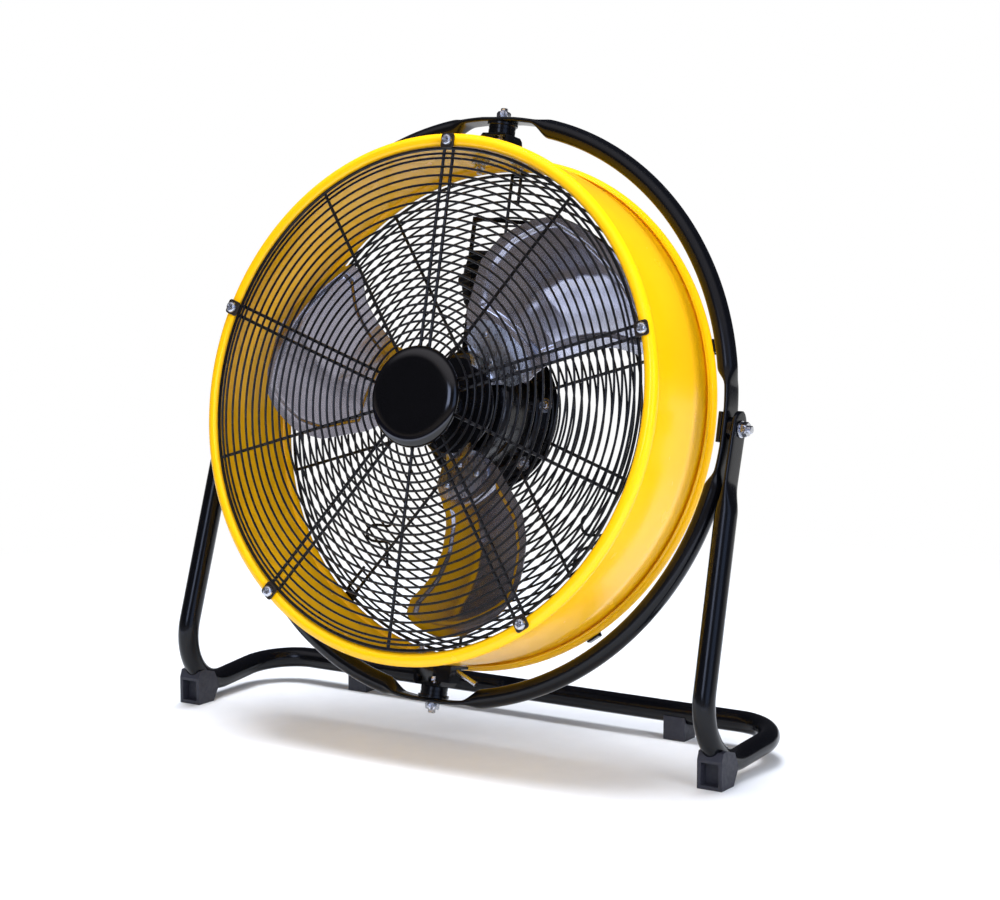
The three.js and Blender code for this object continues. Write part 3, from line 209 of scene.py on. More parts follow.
def hexagon(across, along0, along1, steps=72, hole=0.0):
    """A hexagon nut or head round the y axis: six flats, with its corners turned to a cone at
    both ends. The radius is the smaller of the flats' distance and the cone's."""
    rows = np.array([(hole, along0), (across * 0.46, along0), (across * 0.5, along0 + 0.01),
                     (across * 0.58, along0 + 1.3), (across * 0.58, along1 - 1.3),
                     (across * 0.5, along1 - 0.01), (across * 0.46, along1), (hole, along1)])

    def flats(a, r, p):
        folded = (a + np.pi / 6) % (np.pi / 3) - np.pi / 6
        return np.minimum(r, across / 2 / np.cos(folded))

    return turned(rows, steps, hole > 0, flats)


def moved(piece, offset=(0, 0, 0), spin=0.0, lay=None):
    """A (points, faces) piece laid onto another axis, spun about y by degrees, then shifted.
    lay "z" turns its +y to +z, and lay "x" its +y to +x."""
    p, faces = piece
    p = np.asarray(p, float)
    if lay == "z":
        p = np.stack([p[:, 0], -p[:, 2], p[:, 1]], -1)
    if lay == "x":
        p = np.stack([p[:, 1], -p[:, 0], p[:, 2]], -1)
    a = math.radians(spin)
    c, s = math.cos(a), math.sin(a)
    p = np.stack([p[:, 0] * c - p[:, 2] * s, p[:, 1], p[:, 0] * s + p[:, 2] * c], -1)
    return p + np.asarray(offset, float), faces


def mirrored(piece):
    """The same piece on the other side of x = 0; its faces are turned by the recalculation."""
    p, faces = piece
    return p * [-1, 1, 1], faces


def dressed(name, mesh, body, coat, replaces, sharp, bevel):
    """The object of a finished mesh: smooth but for edges sharper than sharp degrees, its edges
    rounded by bevel mm, riding on a body in place of the CAD nodes it replaces."""
    mesh.shade_smooth()
    mesh.set_sharp_from_angle(angle=math.radians(sharp))
    mesh.materials.append(coat)
    obj = bpy.data.objects.new(name, mesh)
    bpy.context.scene.collection.objects.link(obj)
    if bevel:
        edge = obj.modifiers.new("edge", "BEVEL")
        edge.width, edge.segments, edge.limit_method = bevel * MM, 2, "ANGLE"
        edge.angle_limit = math.radians(28)
        edge.harden_normals = True
    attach(obj, body)
    if replaces:
        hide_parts(replaces)


def put(name, parts, body, coat, replaces="", where=drum, sharp=32, bevel=0.0):
    """One object of (points, faces) parts, in the drum's frame or the part's own: its doubles are
    merged and its faces turned outwards."""
    points, faces, base = [], [], 0
    for p, f in parts:
        points.append(np.asarray(p, float))
        faces += [q + base for q in f]
        base += len(p)
    co = np.concatenate(points)
    co = (where(co) if where else co) * MM
    mesh = bpy.data.meshes.new(name)
    mesh.vertices.add(len(co))
    mesh.vertices.foreach_set("co", co.ravel())
    sizes = np.concatenate([np.full(len(f), f.shape[1]) for f in faces])
    mesh.loops.add(int(sizes.sum()))
    mesh.loops.foreach_set("vertex_index", np.concatenate([f.ravel() for f in faces]))
    mesh.polygons.add(len(sizes))
    mesh.polygons.foreach_set("loop_start", np.concatenate([[0], np.cumsum(sizes)[:-1]]))
    mesh.update(calc_edges=True)
    bm = bmesh.new()
    bm.from_mesh(mesh)
    bmesh.ops.remove_doubles(bm, verts=bm.verts, dist=2e-6)
    bmesh.ops.dissolve_degenerate(bm, edges=bm.edges, dist=1e-6)
    bmesh.ops.recalc_face_normals(bm, faces=bm.faces)
    bm.to_mesh(mesh)
    bm.free()
    dressed(name, mesh, body, coat, replaces, sharp, bevel)


def fit(node, name, body, coat, bevel):
    """A finer piece from a CAD node: its mesh with doubles merged and flat faces joined, then its
    edges rounded by a bevel."""
    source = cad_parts[node]
    bm = bmesh.new()
    bm.from_mesh(source.data)
    bm.transform(source.matrix_world)
    bmesh.ops.remove_doubles(bm, verts=bm.verts, dist=1e-6)
    bmesh.ops.dissolve_limit(bm, angle_limit=math.radians(1), verts=bm.verts, edges=bm.edges)
    bmesh.ops.recalc_face_normals(bm, faces=bm.faces)
    mesh = bpy.data.meshes.new(name)
    bm.to_mesh(mesh)
    bm.free()
    dressed(name, mesh, body, coat, node, 30, bevel)


# ---------------------------------------------------------------- finishes


def srgb(code):
    """A hex colour as the linear RGBA that Blender's sockets take."""
    v = np.array([int(code[i : i + 2], 16) for i in (1, 3, 5)]) / 255
    lin = np.where(v <= 0.04045, v / 12.92, ((v + 0.055) / 1.055) ** 2.4)
    return (*lin, 1.0)


def add(tree, kind, inputs=None, **settings):
    """Adds a node: its own settings, and for each input a plain value or a socket to link."""
    made = tree.nodes.new(kind)
    for key, value in settings.items():
        setattr(made, key, value)
    for key, value in (inputs or {}).items():
        if isinstance(value, bpy.types.NodeSocket):
            tree.links.new(value, made.inputs[key])
        else:
            made.inputs[key].default_value = value
    return made


def mix(tree, share, first, second):
    """A colour between two others, by a share of the second."""
    return add(tree, "ShaderNodeMix", {0: share, 6: first, 7: second}, data_type="RGBA").outputs[2]


def finish(name, tones, patch, rough, grain, depth, marks=None, stretch=(1, 1, 1), **shader):
    """A finish: two tones mixed by patches of a size in mm, roughness between two values by a
    finer noise, and a bump whose grain and depth are in mm. marks = (tone, size in mm, share of
    the surface) adds dust or wear specks. stretch draws the patterns out along an axis."""
    material = bpy.data.materials.new(name)
    material.use_nodes = True
    tree = material.node_tree
    shade = tree.nodes["Principled BSDF"]
    for key, value in shader.items():
        shade.inputs[key.replace("_", " ")].default_value = value
    place = add(tree, "ShaderNodeTexCoord").outputs["Object"]
    place = add(tree, "ShaderNodeMapping", {"Vector": place, "Scale": stretch}).outputs["Vector"]
    patches = add(tree, "ShaderNodeTexNoise", {"Vector": place, "Scale": 1000 / patch, "Detail": 3.0})
    tone = mix(tree, patches.outputs["Fac"], srgb(tones[0]), srgb(tones[1]))
    haze = add(tree, "ShaderNodeTexNoise", {"Vector": place, "Scale": 2600 / patch, "Detail": 4.0})
    gloss = add(tree, "ShaderNodeMapRange",
                {0: haze.outputs["Fac"], 1: 0.3, 2: 0.7, 3: rough[0], 4: rough[1]}).outputs[0]
    if marks:
        speck = add(tree, "ShaderNodeTexNoise", {"Vector": place, "Scale": 1000 / marks[1], "Detail": 2.0})
        edge = 0.78 - marks[2]
        mask = add(tree, "ShaderNodeMapRange", {0: speck.outputs["Fac"], 1: edge, 2: edge + 0.06}).outputs[0]
        tone = mix(tree, mask, tone, srgb(marks[0]))
        gloss = add(tree, "ShaderNodeMath", {0: mask, 1: 0.25, 2: gloss}, operation="MULTIPLY_ADD").outputs[0]
    relief = add(tree, "ShaderNodeTexNoise", {"Vector": place, "Scale": 1000 / grain, "Detail": 2.0})
    bump = add(tree, "ShaderNodeBump",
               {"Height": relief.outputs["Fac"], "Distance": depth * MM, "Strength": 1.0})
    tree.links.new(tone, shade.inputs["Base Color"])
    tree.links.new(gloss, shade.inputs["Roughness"])
    tree.links.new(bump.outputs["Normal"], shade.inputs["Normal"])
    return material


# Gloss polyester powder coat: a smooth film whose faint orange peel, about 3 mm from hump to
# hump, wavers the reflections; dust dulls it in specks.
YELLOW = finish("yellow_powder_coat", ("#FBB904", "#FFC60C"), 90, (0.2, 0.28), 3.0, 0.006,
                marks=("#D79A1C", 1.6, 0.02), IOR=1.36, Coat_Weight=0.12, Coat_Roughness=0.08)
# The same film in black: tubes, ring and brackets; scuffs show grey where parts rub.
BLACK = finish("black_powder_coat", ("#050609", "#0A0B10"), 60, (0.16, 0.24), 2.5, 0.006,
               marks=("#26272C", 1.3, 0.02), IOR=1.3, Coat_Weight=0.06, Coat_Roughness=0.12)
# Dipped coating on welded wire: thicker and glossier, with small runs.
WIRE_COAT = finish("coated_steel_wire", ("#040406", "#08090C"), 25, (0.24, 0.36), 4.0, 0.012,
                   marks=("#1E1F24", 1.2, 0.02), IOR=1.36)
# Satin enamel over a die-cast motor case, slightly pebbled by the casting under it.
ENAMEL = finish("black_cast_enamel", ("#07080C", "#0E0F15"), 30, (0.18, 0.3), 2.0, 0.015,
                marks=("#26272E", 1.0, 0.02), Coat_Weight=0.2, Coat_Roughness=0.2)
# EPDM rubber, moulded matte, with a grey bloom.
RUBBER = finish("moulded_rubber", ("#1C1D25", "#292A34"), 12, (0.5, 0.7), 0.9, 0.03,
                marks=("#4B4C55", 1.5, 0.03))
# Bright zinc plate on steel fasteners: bluish silver, with the marks of the barrel and tools.
ZINC = finish("zinc_plated_steel", ("#B4B8C2", "#D9DADD"), 6, (0.18, 0.36), 0.7, 0.006,
              marks=("#8F8A80", 0.8, 0.04), Metallic=1.0)
# Cold-rolled sheet of the blades: dark polished metal with streaks along the rolling.
SHEET = finish("rolled_steel_sheet", ("#AAAAB3", "#BFBEC4"), 110, (0.2, 0.26), 6.0, 0.003,
               marks=("#7F7A76", 3.0, 0.02), stretch=(1, 1, 3), Metallic=1.0)
# The arms that carry the blades: the same steel, brighter and brushed.
ARM_SHEET = finish("brushed_steel_arms", ("#A3A7B0", "#C6C9CF"), 20, (0.2, 0.34), 0.8, 0.004,
                   marks=("#6A6A6E", 1.4, 0.03), stretch=(3, 1, 1), Metallic=1.0)
# Ground shaft steel with an oil film.
SHAFT = finish("ground_steel", ("#A9A7A2", "#C6C5C2"), 8, (0.14, 0.26), 0.6, 0.003,
               marks=("#6A5E4E", 1.4, 0.03), stretch=(1, 6, 1), Metallic=1.0)
# High-gloss ABS of the cap: nearly a mirror, with the finest moulding ripple.
GLOSS_ABS = finish("gloss_abs_plastic", ("#040406", "#070709"), 30, (0.07, 0.13), 9.0, 0.003,
                   marks=("#15161A", 0.7, 0.015), IOR=1.5)
# Textured ABS of the switch box, knob and gland: an etched mould leaves a fine leather-like grain.
BOX_ABS = finish("etched_abs_plastic", ("#0E0F13", "#17181D"), 20, (0.36, 0.5), 0.8, 0.03,
                 marks=("#2C2D33", 1.1, 0.03))
# Brown-black phosphate of the square clips.
CLIP_COAT = finish("phosphated_spring_steel", ("#17120E", "#261D16"), 5, (0.32, 0.48), 0.7, 0.02,
                   marks=("#5B5044", 0.8, 0.04))
# Enamelled copper wire of the stator, drawn as fine turns round the stack.
COPPER = finish("enamelled_copper", ("#8A4A1E", "#B9692F"), 4, (0.25, 0.4), 0.8, 0.06,
                stretch=(1, 8, 1), Metallic=1.0)

# ---------------------------------------------------------------- camera, light and floor

SHOT_POSITION = Vector((1.36886, -2.04546, 0.62721))
SHOT_TARGET = Vector((0.0391, 0.0119, 0.3007))
camera = bpy.data.objects.new("shot", bpy.data.cameras.new("shot"))
bpy.context.scene.collection.objects.link(camera)
camera.location = SHOT_POSITION
camera.rotation_euler = (SHOT_TARGET - SHOT_POSITION).to_track_quat("-Z", "Y").to_euler()
camera.data.lens, camera.data.sensor_width = 86.4, 36.0
bpy.context.scene.camera = camera
bpy.context.scene.view_settings.view_transform = "Standard"


def lamp(name, place, aim, size, power, tint="#FFFFFF"):
    """A soft rectangular lamp aimed at a point, in metres and watts. It lights surfaces, but they
    don't mirror it: what they mirror is the world's studio."""
    data = bpy.data.lights.new(name, "AREA")
    data.shape, data.size, data.size_y, data.energy = "RECTANGLE", *size, power
    data.color = srgb(tint)[:3]
    made = bpy.data.objects.new(name, data)
    made.location = place
    made.rotation_euler = (Vector(aim) - Vector(place)).to_track_quat("-Z", "Y").to_euler()
    made.visible_glossy = False
    bpy.context.scene.collection.objects.link(made)


lamp("key", (0.9, -2.5, 1.7), (0, 0, 0.3), (1.3, 1.3), 33)
lamp("side", (2.5, -0.95, 0.8), (0, 0, 0.3), (0.9, 1.4), 50)
lamp("top", (-0.3, 0.24, 2.6), (0, 0, 0.2), (1.3, 1.3), 94)


def seen_rays(tree):
    """Two values: 1 for rays that show the backdrop, from the camera, a reflection or a clear
    piece, and 1 for the camera's own rays."""
    rays = add(tree, "ShaderNodeLightPath").outputs
    both = add(tree, "ShaderNodeMath", {0: rays["Is Camera Ray"], 1: rays["Is Glossy Ray"]},
               operation="MAXIMUM").outputs[0]
    shown = add(tree, "ShaderNodeMath", {0: both, 1: rays["Is Transmission Ray"]}, operation="MAXIMUM")
    return shown.outputs[0], rays["Is Camera Ray"]


def between(tree, value, low, high):
    """A soft step of a value: 0 at low and 1 at high, which may be the smaller of the two."""
    return add(tree, "ShaderNodeMapRange", {0: value, 1: low, 2: high},
               interpolation_type="SMOOTHSTEP").outputs[0]


def product(tree, *factors):
    """The product of several values."""
    whole = factors[0]
    for factor in factors[1:]:
        whole = add(tree, "ShaderNodeMath", {0: whole, 1: factor}, operation="MULTIPLY").outputs[0]
    return whole


WHITE = (1, 1, 1, 1)
DARK_ROOM = (0.05, 0.05, 0.06, 1)
WARM_GREY = (0.4, 0.35, 0.32, 1)
SOFT_BOX = (3.6, 4.2, 6.0, 1)
DIM_BOX = (0.7, 0.95, 1.6, 1)
FILL = (0.23, 0.245, 0.27, 1)  # the even light on surfaces
WALL_TONES = ((0.14, WARM_GREY), (0.3, DARK_ROOM), (0.5, (0.07, 0.07, 0.08, 1)), (0.68, (0.8, 0.77, 0.83, 1)))

# What reflections see: a dark studio, in front of the fan a wall that goes from warm grey at eye
# level to lavender overhead, a bluish soft box beside the camera and a dimmer one to the right.
# The camera itself sees white, and surfaces get an even fill.
world = bpy.data.worlds.new("studio")
world.use_nodes = True
bpy.context.scene.world = world
sky = world.node_tree
seen, direct = seen_rays(sky)
way = add(sky, "ShaderNodeSeparateXYZ", {0: add(sky, "ShaderNodeTexCoord").outputs["Generated"]}).outputs
before = between(sky, way["Y"], 0.1, -0.4)
wall = add(sky, "ShaderNodeMapRange", {0: way["Z"], 1: -0.2, 2: 1.0})
wall = add(sky, "ShaderNodeValToRGB", {0: wall.outputs[0]})
ramp = wall.color_ramp.elements
ramp[0].position, ramp[0].color = 0.06, (0.03, 0.03, 0.06, 1)
ramp[1].position, ramp[1].color = 0.85, (1.0, 0.97, 1.05, 1)
for position, color in WALL_TONES:
    ramp.new(position).color = color
room = mix(sky, before, DARK_ROOM, wall.outputs[0])
box = product(sky, between(sky, way["X"], -0.1, 0.0), between(sky, way["X"], 0.28, 0.18),
              between(sky, way["Z"], 0.14, 0.22), between(sky, way["Z"], 0.5, 0.42), before)
room = mix(sky, box, room, SOFT_BOX)
right = product(sky, between(sky, way["X"], 0.6, 0.75), between(sky, way["Y"], -0.15, -0.3),
                between(sky, way["Z"], -0.3, -0.15), between(sky, way["Z"], 0.6, 0.45))
room = mix(sky, right, room, DIM_BOX)
light = mix(sky, direct, mix(sky, seen, FILL, room), WHITE)
sky.links.new(light, sky.nodes["Background"].inputs["Color"])

FLOOR_HALF = 9.0

# The floor is white paper that keeps the fan's shadow; away from it, it fades into the backdrop.
# In reflections it glows before the fan, goes dark past 1.5 m and is warm grey past 2.9 m.
floor_mesh = bpy.data.meshes.new("floor")
corners = [(FLOOR_HALF * x, FLOOR_HALF * y, 0) for x, y in ((-1, -1), (1, -1), (1, 1), (-1, 1))]
floor_mesh.from_pydata(corners, [], [(0, 1, 2, 3)])
floor = bpy.data.objects.new("floor", floor_mesh)
bpy.context.scene.collection.objects.link(floor)
paper = bpy.data.materials.new("white_paper_sweep")
paper.use_nodes = True
tree = paper.node_tree
seen, direct = seen_rays(tree)
place = add(tree, "ShaderNodeTexCoord").outputs["Object"]
sheet = tree.nodes["Principled BSDF"]
fibre = add(tree, "ShaderNodeTexNoise", {"Vector": place, "Scale": 40.0}).outputs["Fac"]
tree.links.new(mix(tree, fibre, srgb("#E3E7F0"), srgb("#E9EDF6")), sheet.inputs["Base Color"])
sheet.inputs["Roughness"].default_value = 0.9
sheet.inputs["Specular IOR Level"].default_value = 0.0
away = add(tree, "ShaderNodeVectorMath", {0: place}, operation="LENGTH").outputs["Value"]
fade = product(tree, between(tree, away, 0.62, 1.3), seen)
spot = add(tree, "ShaderNodeSeparateXYZ", {0: place}).outputs
mirrored_only = add(tree, "ShaderNodeMath", {0: 1.0, 1: direct}, operation="SUBTRACT").outputs[0]
dim = product(tree, between(tree, away, 1.0, 1.5), between(tree, spot["Y"], 0.2, -0.2), mirrored_only)
far = product(tree, between(tree, away, 2.2, 2.9), between(tree, spot["X"], -1.9, -1.3))
dark = mix(tree, far, (0.05, 0.05, 0.1, 1), WARM_GREY)
near = product(tree, between(tree, spot["Y"], -0.2, -0.6), mirrored_only)
glow = mix(tree, near, WHITE, (3.0, 3.3, 4.3, 1))
glow = add(tree, "ShaderNodeEmission", {"Color": mix(tree, dim, glow, dark), "Strength": 1.0}).outputs[0]
both = add(tree, "ShaderNodeMixShader", {0: fade, 1: sheet.outputs[0], 2: glow}).outputs[0]
tree.links.new(both, tree.nodes["Material Output"].inputs["Surface"])
floor_mesh.materials.append(paper)

# ---------------------------------------------------------------- drum


def bead_arc(y, start, stop, count):
    """Part of a rolled edge: a circle of radius 7 about (263, y), between two angles."""
    a = np.radians(np.linspace(start, stop, count))
    return np.stack([263 + 7 * np.cos(a), y + 7 * np.sin(a)], -1)


def drum_skin():
    """The drum's section: two rolled edges joined by a 1.6 mm wall, which steps in at the back
    over a cove, carried round the axis. The rear edge is curled: its lip leaves a dark slot."""
    cove_y = np.linspace(-9.6, 19.4, 12)
    cove = 265.5 - 2.9 * ease(cove_y, -9.6, 19.4)
    front = bead_arc(-87.8, 69.1, -277.4, 34)
    rear = bead_arc(34.5, 253.4, -62, 34)
    lip = [(266.2, 27.2), (265.9, 25.1), (265.4, 24.7), (264.8, 25.1), (264.6, 30.2), (262.6, 30.4)]
    outer = np.stack([cove, cove_y], -1)[::-1]
    inner = np.stack([cove - 1.6, cove_y], -1)
    return turned(np.concatenate([outer, front, inner, rear, lip]), 288, True)


put("drum_skin", [drum_skin()], "drum", YELLOW, "drum_shell", sharp=50)

# ---------------------------------------------------------------- guards

WIRE = 1.25  # radius of a ring's wire
EDGE_WIRE = 1.7
SPOKE_WIRE = 1.75
PAIR = 5.5  # a spoke of a pair, from the pair's middle
RING_RADII = np.concatenate([59.8 + 8.75 * np.arange(22), [248.3]])
FRONT_SPOKES_Y, REAR_SPOKES_Y = -92.0, 38.7
FRONT_HUB, REAR_HUB, STUB = 45.0, 77.5, 220.6  # where the spokes start


def spokes(angles, shift, y, inner, outer=254.6):
    """Straight spokes at some angles, each moved sideways by shift."""
    return bars(polar(inner, angles, y, shift), polar(outer, angles, y, shift), SPOKE_WIRE)


front_wires = [torus(253.9, -92.9, EDGE_WIRE, 180, 10), torus(46.0, FRONT_SPOKES_Y, WIRE)]
front_wires += [torus(r, -94.45, WIRE) for r in RING_RADII]
front_wires += [spokes(angles, shift, FRONT_SPOKES_Y, FRONT_HUB)
                for angles, shift in ((CLIP_ANGLES, PAIR), (CLIP_ANGLES, -PAIR), (HALFWAY, 0.0))]
put("front_guard_wires", front_wires, "drum", WIRE_COAT, "front_guard")

rear_wires = [torus(253.9, 39.6, EDGE_WIRE, 180, 10), torus(78.5, 40.4, 2.0, 96)]
rear_wires += [torus(r, 41.15, WIRE) for r in RING_RADII if r > 80]
rear_wires += [spokes(angles, shift, REAR_SPOKES_Y, start) for angles, shift, start in (
    (CLIP_ANGLES, PAIR, REAR_HUB), (CLIP_ANGLES, -PAIR, STUB), (HALFWAY, 0.0, REAR_HUB))]
HOOK_Y, HOOK_WIRE, HOOK_STEPS = 43.35, 1.5, 60
HOOKS = (  # (x, z) of the bent wires for winding up a lead, welded outside the rear guard
    [(-107.6, -172.7), (-112, -148.5), (-122, -146.6), (-132.6, -146), (-138.7, -141.2), (-139.5, -135.9),
     (-133.8, -130), (-124.7, -128.7), (-111.4, -128.5), (-107, -121), (-103.7, -111)],
    [(131.8, -95.7), (127, -99.5), (126.2, -106.8), (128.9, -112.6), (134.6, -115.8), (151.7, -114.7)],
    [(143.4, -129.6), (137.1, -128.3), (130, -132), (124.6, -138.6), (121.7, -149.4)],
)
for knots in HOOKS:
    line = smooth_path(knots, HOOK_STEPS)
    line = np.stack([line[:, 0], np.full(HOOK_STEPS, HOOK_Y), line[:, 1]], -1)
    rear_wires.append(carried(line, circle(HOOK_WIRE, 8), (0, 1, 0)))
put("rear_guard_wires", rear_wires, "drum", WIRE_COAT, "rear_guard")

# ---------------------------------------------------------------- cap, clips and screws


def cap_profile():
    """The cap's section: a back lip, a short skirt and a quarter of a flat ellipse, 15 mm by 8,
    that runs into the face."""
    a = np.radians(np.linspace(0, 90, 18))
    corner = np.stack([36.7 + 15 * np.cos(a), -98.2 - 8 * np.sin(a)], -1)
    face = np.stack([np.linspace(35.0, 0.0, 12), np.full(12, -106.2)], -1)
    return np.concatenate([[(0.0, -96.0), (50.9, -96.0), (51.7, -96.8)], corner, face])


put("hub_cap", [turned(cap_profile(), 128)], "drum", GLOSS_ABS, "guard_cap", sharp=50)


def cross_screw(radius, rise, deep=1.6):
    """A pan head facing -y, on a polar grid: the dome is a flattened ellipse, and the cross recess
    is cut by the distance to two crossed slots that narrow outwards. The rim ends at y = 0."""
    r = np.linspace(0, 1, 15)[None, :]
    a = np.linspace(0, 2 * np.pi, 64, endpoint=False)[:, None]
    x, z = radius * r * np.cos(a), radius * r * np.sin(a)
    dome = rise * (1 - r**4) ** 0.5
    arm = np.minimum(np.abs(x), np.abs(z))
    reach = np.maximum(np.abs(x), np.abs(z))
    slot_half = 0.17 * radius - 0.12 * reach
    across_slot = 1 - ease(arm, slot_half - 0.15, slot_half + 0.1)
    cut = across_slot * (1 - ease(reach, 0.5 * radius, 0.62 * radius))
    y = -(dome - deep * cut * (1 - 0.5 * r))
    top = np.stack([x, y, z], -1)
    under = np.stack([x, np.zeros_like(y), z], -1)[:, ::-1]
    return grid(np.concatenate([top, under], 1), True, False)


def rounded_square(middle, half, round_):
    """A square outline of (x, z) rows about (middle, 0), its corners arcs of a radius."""
    a = np.radians(np.linspace(0, 90, 7))
    corner = np.stack([half - round_ + round_ * np.cos(a), half - round_ + round_ * np.sin(a)], -1)
    turns = [((1, 0), (0, 1)), ((0, -1), (1, 0)), ((-1, 0), (0, -1)), ((0, 1), (-1, 0))]
    rows = [corner @ np.array(t).T for t in turns]
    return np.concatenate(rows) + [middle, 0]


def shank(radius, start, end):
    """A plain round shank along y with closed ends."""
    return turned([(0, start), (radius, start), (radius, end), (0, end)], 24)


# A rear clip in the drum's section, from the guard's outer ring to its lip over the drum's edge.
REAR_STRIP = np.array([
    (251, 42.4), (268.4, 42.4), (269.7, 41.4), (270.3, 40.0), (270.3, 34.0), (272.2, 34.0),
    (272.2, 41.6), (271.2, 43.6), (269.6, 44.3), (251, 44.3)])
REAR_STRIP_HALF = 7.0
CLIP_SCREW_CIRCLE = 262.0


def rear_strip():
    """The rear clip's section carried across its width, with flat ends."""
    sides = (-REAR_STRIP_HALF, REAR_STRIP_HALF)
    rows = [np.column_stack([REAR_STRIP, np.full(len(REAR_STRIP), z)]) for z in sides]
    return closed_ends(np.stack(rows))


for n, angle in enumerate(CLIP_ANGLES, 1):
    plate = moved(prism(rounded_square(261.0, 7.7, 3.2), -97.7, -95.5), spin=angle)
    put(f"front_clip_plate_{n}", [plate], "drum", CLIP_COAT, f"front_clip_{n}", bevel=0.7)
    head = moved(cross_screw(5.9, 3.2), polar(CLIP_SCREW_CIRCLE, angle, -98.0), angle + 20 * (n - 1))
    body = moved(shank(2.0, -98.0, -95.0), polar(CLIP_SCREW_CIRCLE, angle, 0.0))
    put(f"clip_screw_head_{n}", [head, body], "drum", ZINC, f"front_clip_screw_{n}")
    put(f"rear_clip_strip_{n}", [moved(rear_strip(), spin=angle)], "drum", BLACK,
        f"rear_clip_{n}", bevel=0.4)

# ---------------------------------------------------------------- motor


def motor_case():
    """The motor case: skirt, rounded shoulder and the flange that is screwed to the plate."""
    a = np.radians(np.linspace(90, 0, 7))
    shoulder = np.stack([56 + 4 * np.cos(a), 6 - 4 * np.sin(a)], -1)
    rest = [(60, 33.5), (60.6, 36.0), (62.5, 37.6), (64, 38.3), (64, 39.9), (75.3, 39.9), (75.3, 42.4),
            (0, 42.4)]
    return turned(np.concatenate([[(0, 2.0), (56, 2.0)], shoulder, rest]), 128)


put("motor_case", [motor_case()], "drum", ENAMEL, "motor_housing", sharp=28)
cover = [(9.3, 1.7), (9.3, -14), (14, -14), (14.5, -13.2), (18, -13.2), (18.5, -14), (50, -14), (54, -13.2),
         (57, -11), (57.6, -8), (57.6, 1.7)]
put("motor_end_cover", [turned(cover, 128, True)], "drum", ENAMEL, "motor_cover", sharp=28)
for node, coat in (("motor_stator", COPPER), ("motor_rotor", ZINC), ("bearing_front", SHAFT),
                   ("bearing_rear", SHAFT)):
    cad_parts[node].data.materials.clear()
    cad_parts[node].data.materials.append(coat)


def motor_shaft():
    """The shaft: threaded nose, journal and collar, as one turned section."""
    rest = [(6, -32.8), (6, -28.7), (8.6, -28.7), (9, -28.3), (9, -11.4), (8.6, -11), (6, -11), (6, 38.8),
            (0, 38.8)]
    return turned(np.concatenate([[(0, -45), (5.4, -45)], thread(6, -44.5, -33, 47, 0.28), rest]), 48)


put("turned_shaft", [motor_shaft()], "rotor", SHAFT, "motor_shaft", sharp=30)


def plate_outline():
    """The mounting plate's outline: a disc of 82 mm, its tongue up to the box and the bent bar."""
    disc, left, right = 82, -46, 30
    start = math.atan2(math.sqrt(disc**2 - left**2), left)
    end = math.atan2(math.sqrt(disc**2 - right**2), right) + 2 * math.pi
    a = np.linspace(start, end, 65)
    disc = disc * np.stack([np.cos(a), np.sin(a)], -1)
    rest = [(right, 169.5), (-47.5, 169.5), (-47.5, 205), (56, 199.5), (56, 204), (-52, 209.5), (-52, 153.5),
            (left, 149.5)]
    return np.concatenate([disc, rest])


put("mount_plate", [prism(plate_outline(), 42.7, 45.2)], "drum", BLACK, "motor_mount_plate",
    bevel=0.5)
MOUNT_SCREW_CIRCLE = 71.0
for n, angle in enumerate((10, 136, 190, 316), 1):
    washer = turned([(0, 38.1), (7.5, 38.1), (7.5, 36.8), (7.2, 36.6), (0, 36.6)], 40)
    head = cross_screw(4.75, 3.0)
    parts = [washer, (head[0] + [0, 36.6, 0], head[1]), shank(2.5, 38.0, 48.2)]
    centre = polar(MOUNT_SCREW_CIRCLE, angle, 0.0)
    put(f"mount_screw_and_washer_{n}", [(p + centre, f) for p, f in parts], "drum", ZINC,
        f"mount_screw_{n}")

# ---------------------------------------------------------------- fan

# Blade rows: radius, leading and trailing angle from the blade's middle, depth of both edges.
BLADE_ROWS = np.array([
    (58, -16, 20, 7.5, -8.5), (64, -21, 27, 9, -11), (83, -28, 31.5, 11.5, -14), (98, -23, 33, 14, -17),
    (112, -20.5, 32, 19.5, -19), (124, -20.5, 31.5, 24, -21), (150, -21.5, 30.5, 28, -24.3),
    (180, -24.5, 25.3, 27.5, -25.3), (207, -29.5, 18, 28, -24.2), (222, -29, 13, 25, -23),
    (230, -25.5, 6.5, 21.5, -19), (238, -17, -5, 15, -9)])
HUB_Y = -30.0


def blade_rows(radius):
    """The blade's rows at any radii: linear between its stations, so it fits its solid."""
    return [np.interp(radius, BLADE_ROWS[:, 0], BLADE_ROWS[:, k]) for k in (1, 2, 3, 4)]


def blade_depth(radius, angle):
    """Depth of the blade's middle surface at a radius and an angle from its middle."""
    lead, trail, behind_lead, behind_trail = blade_rows(radius)
    share = (angle - lead) / (trail - lead)
    return HUB_Y + behind_lead + (behind_trail - behind_lead) * share


def pressed_panel(radius, angle):
    """0 on the blade's flange and 1 inside the pressed step: a smooth step of the distance to the
    outline, the least of those to both edges along the arc and to the tip and the root."""
    lead, trail = blade_rows(radius)[:2]
    arc = np.radians(1.0) * radius
    edge = np.minimum((angle - lead), (trail - angle)) * arc
    tip = 236.0 - radius - 0.0011 * ((angle + 9) * arc) ** 2
    root = radius - 93.0 - 0.0011 * ((angle - 4) * arc) ** 2
    return ease(np.minimum(np.minimum(edge * 0.93, tip), root), 10.0, 15.0)


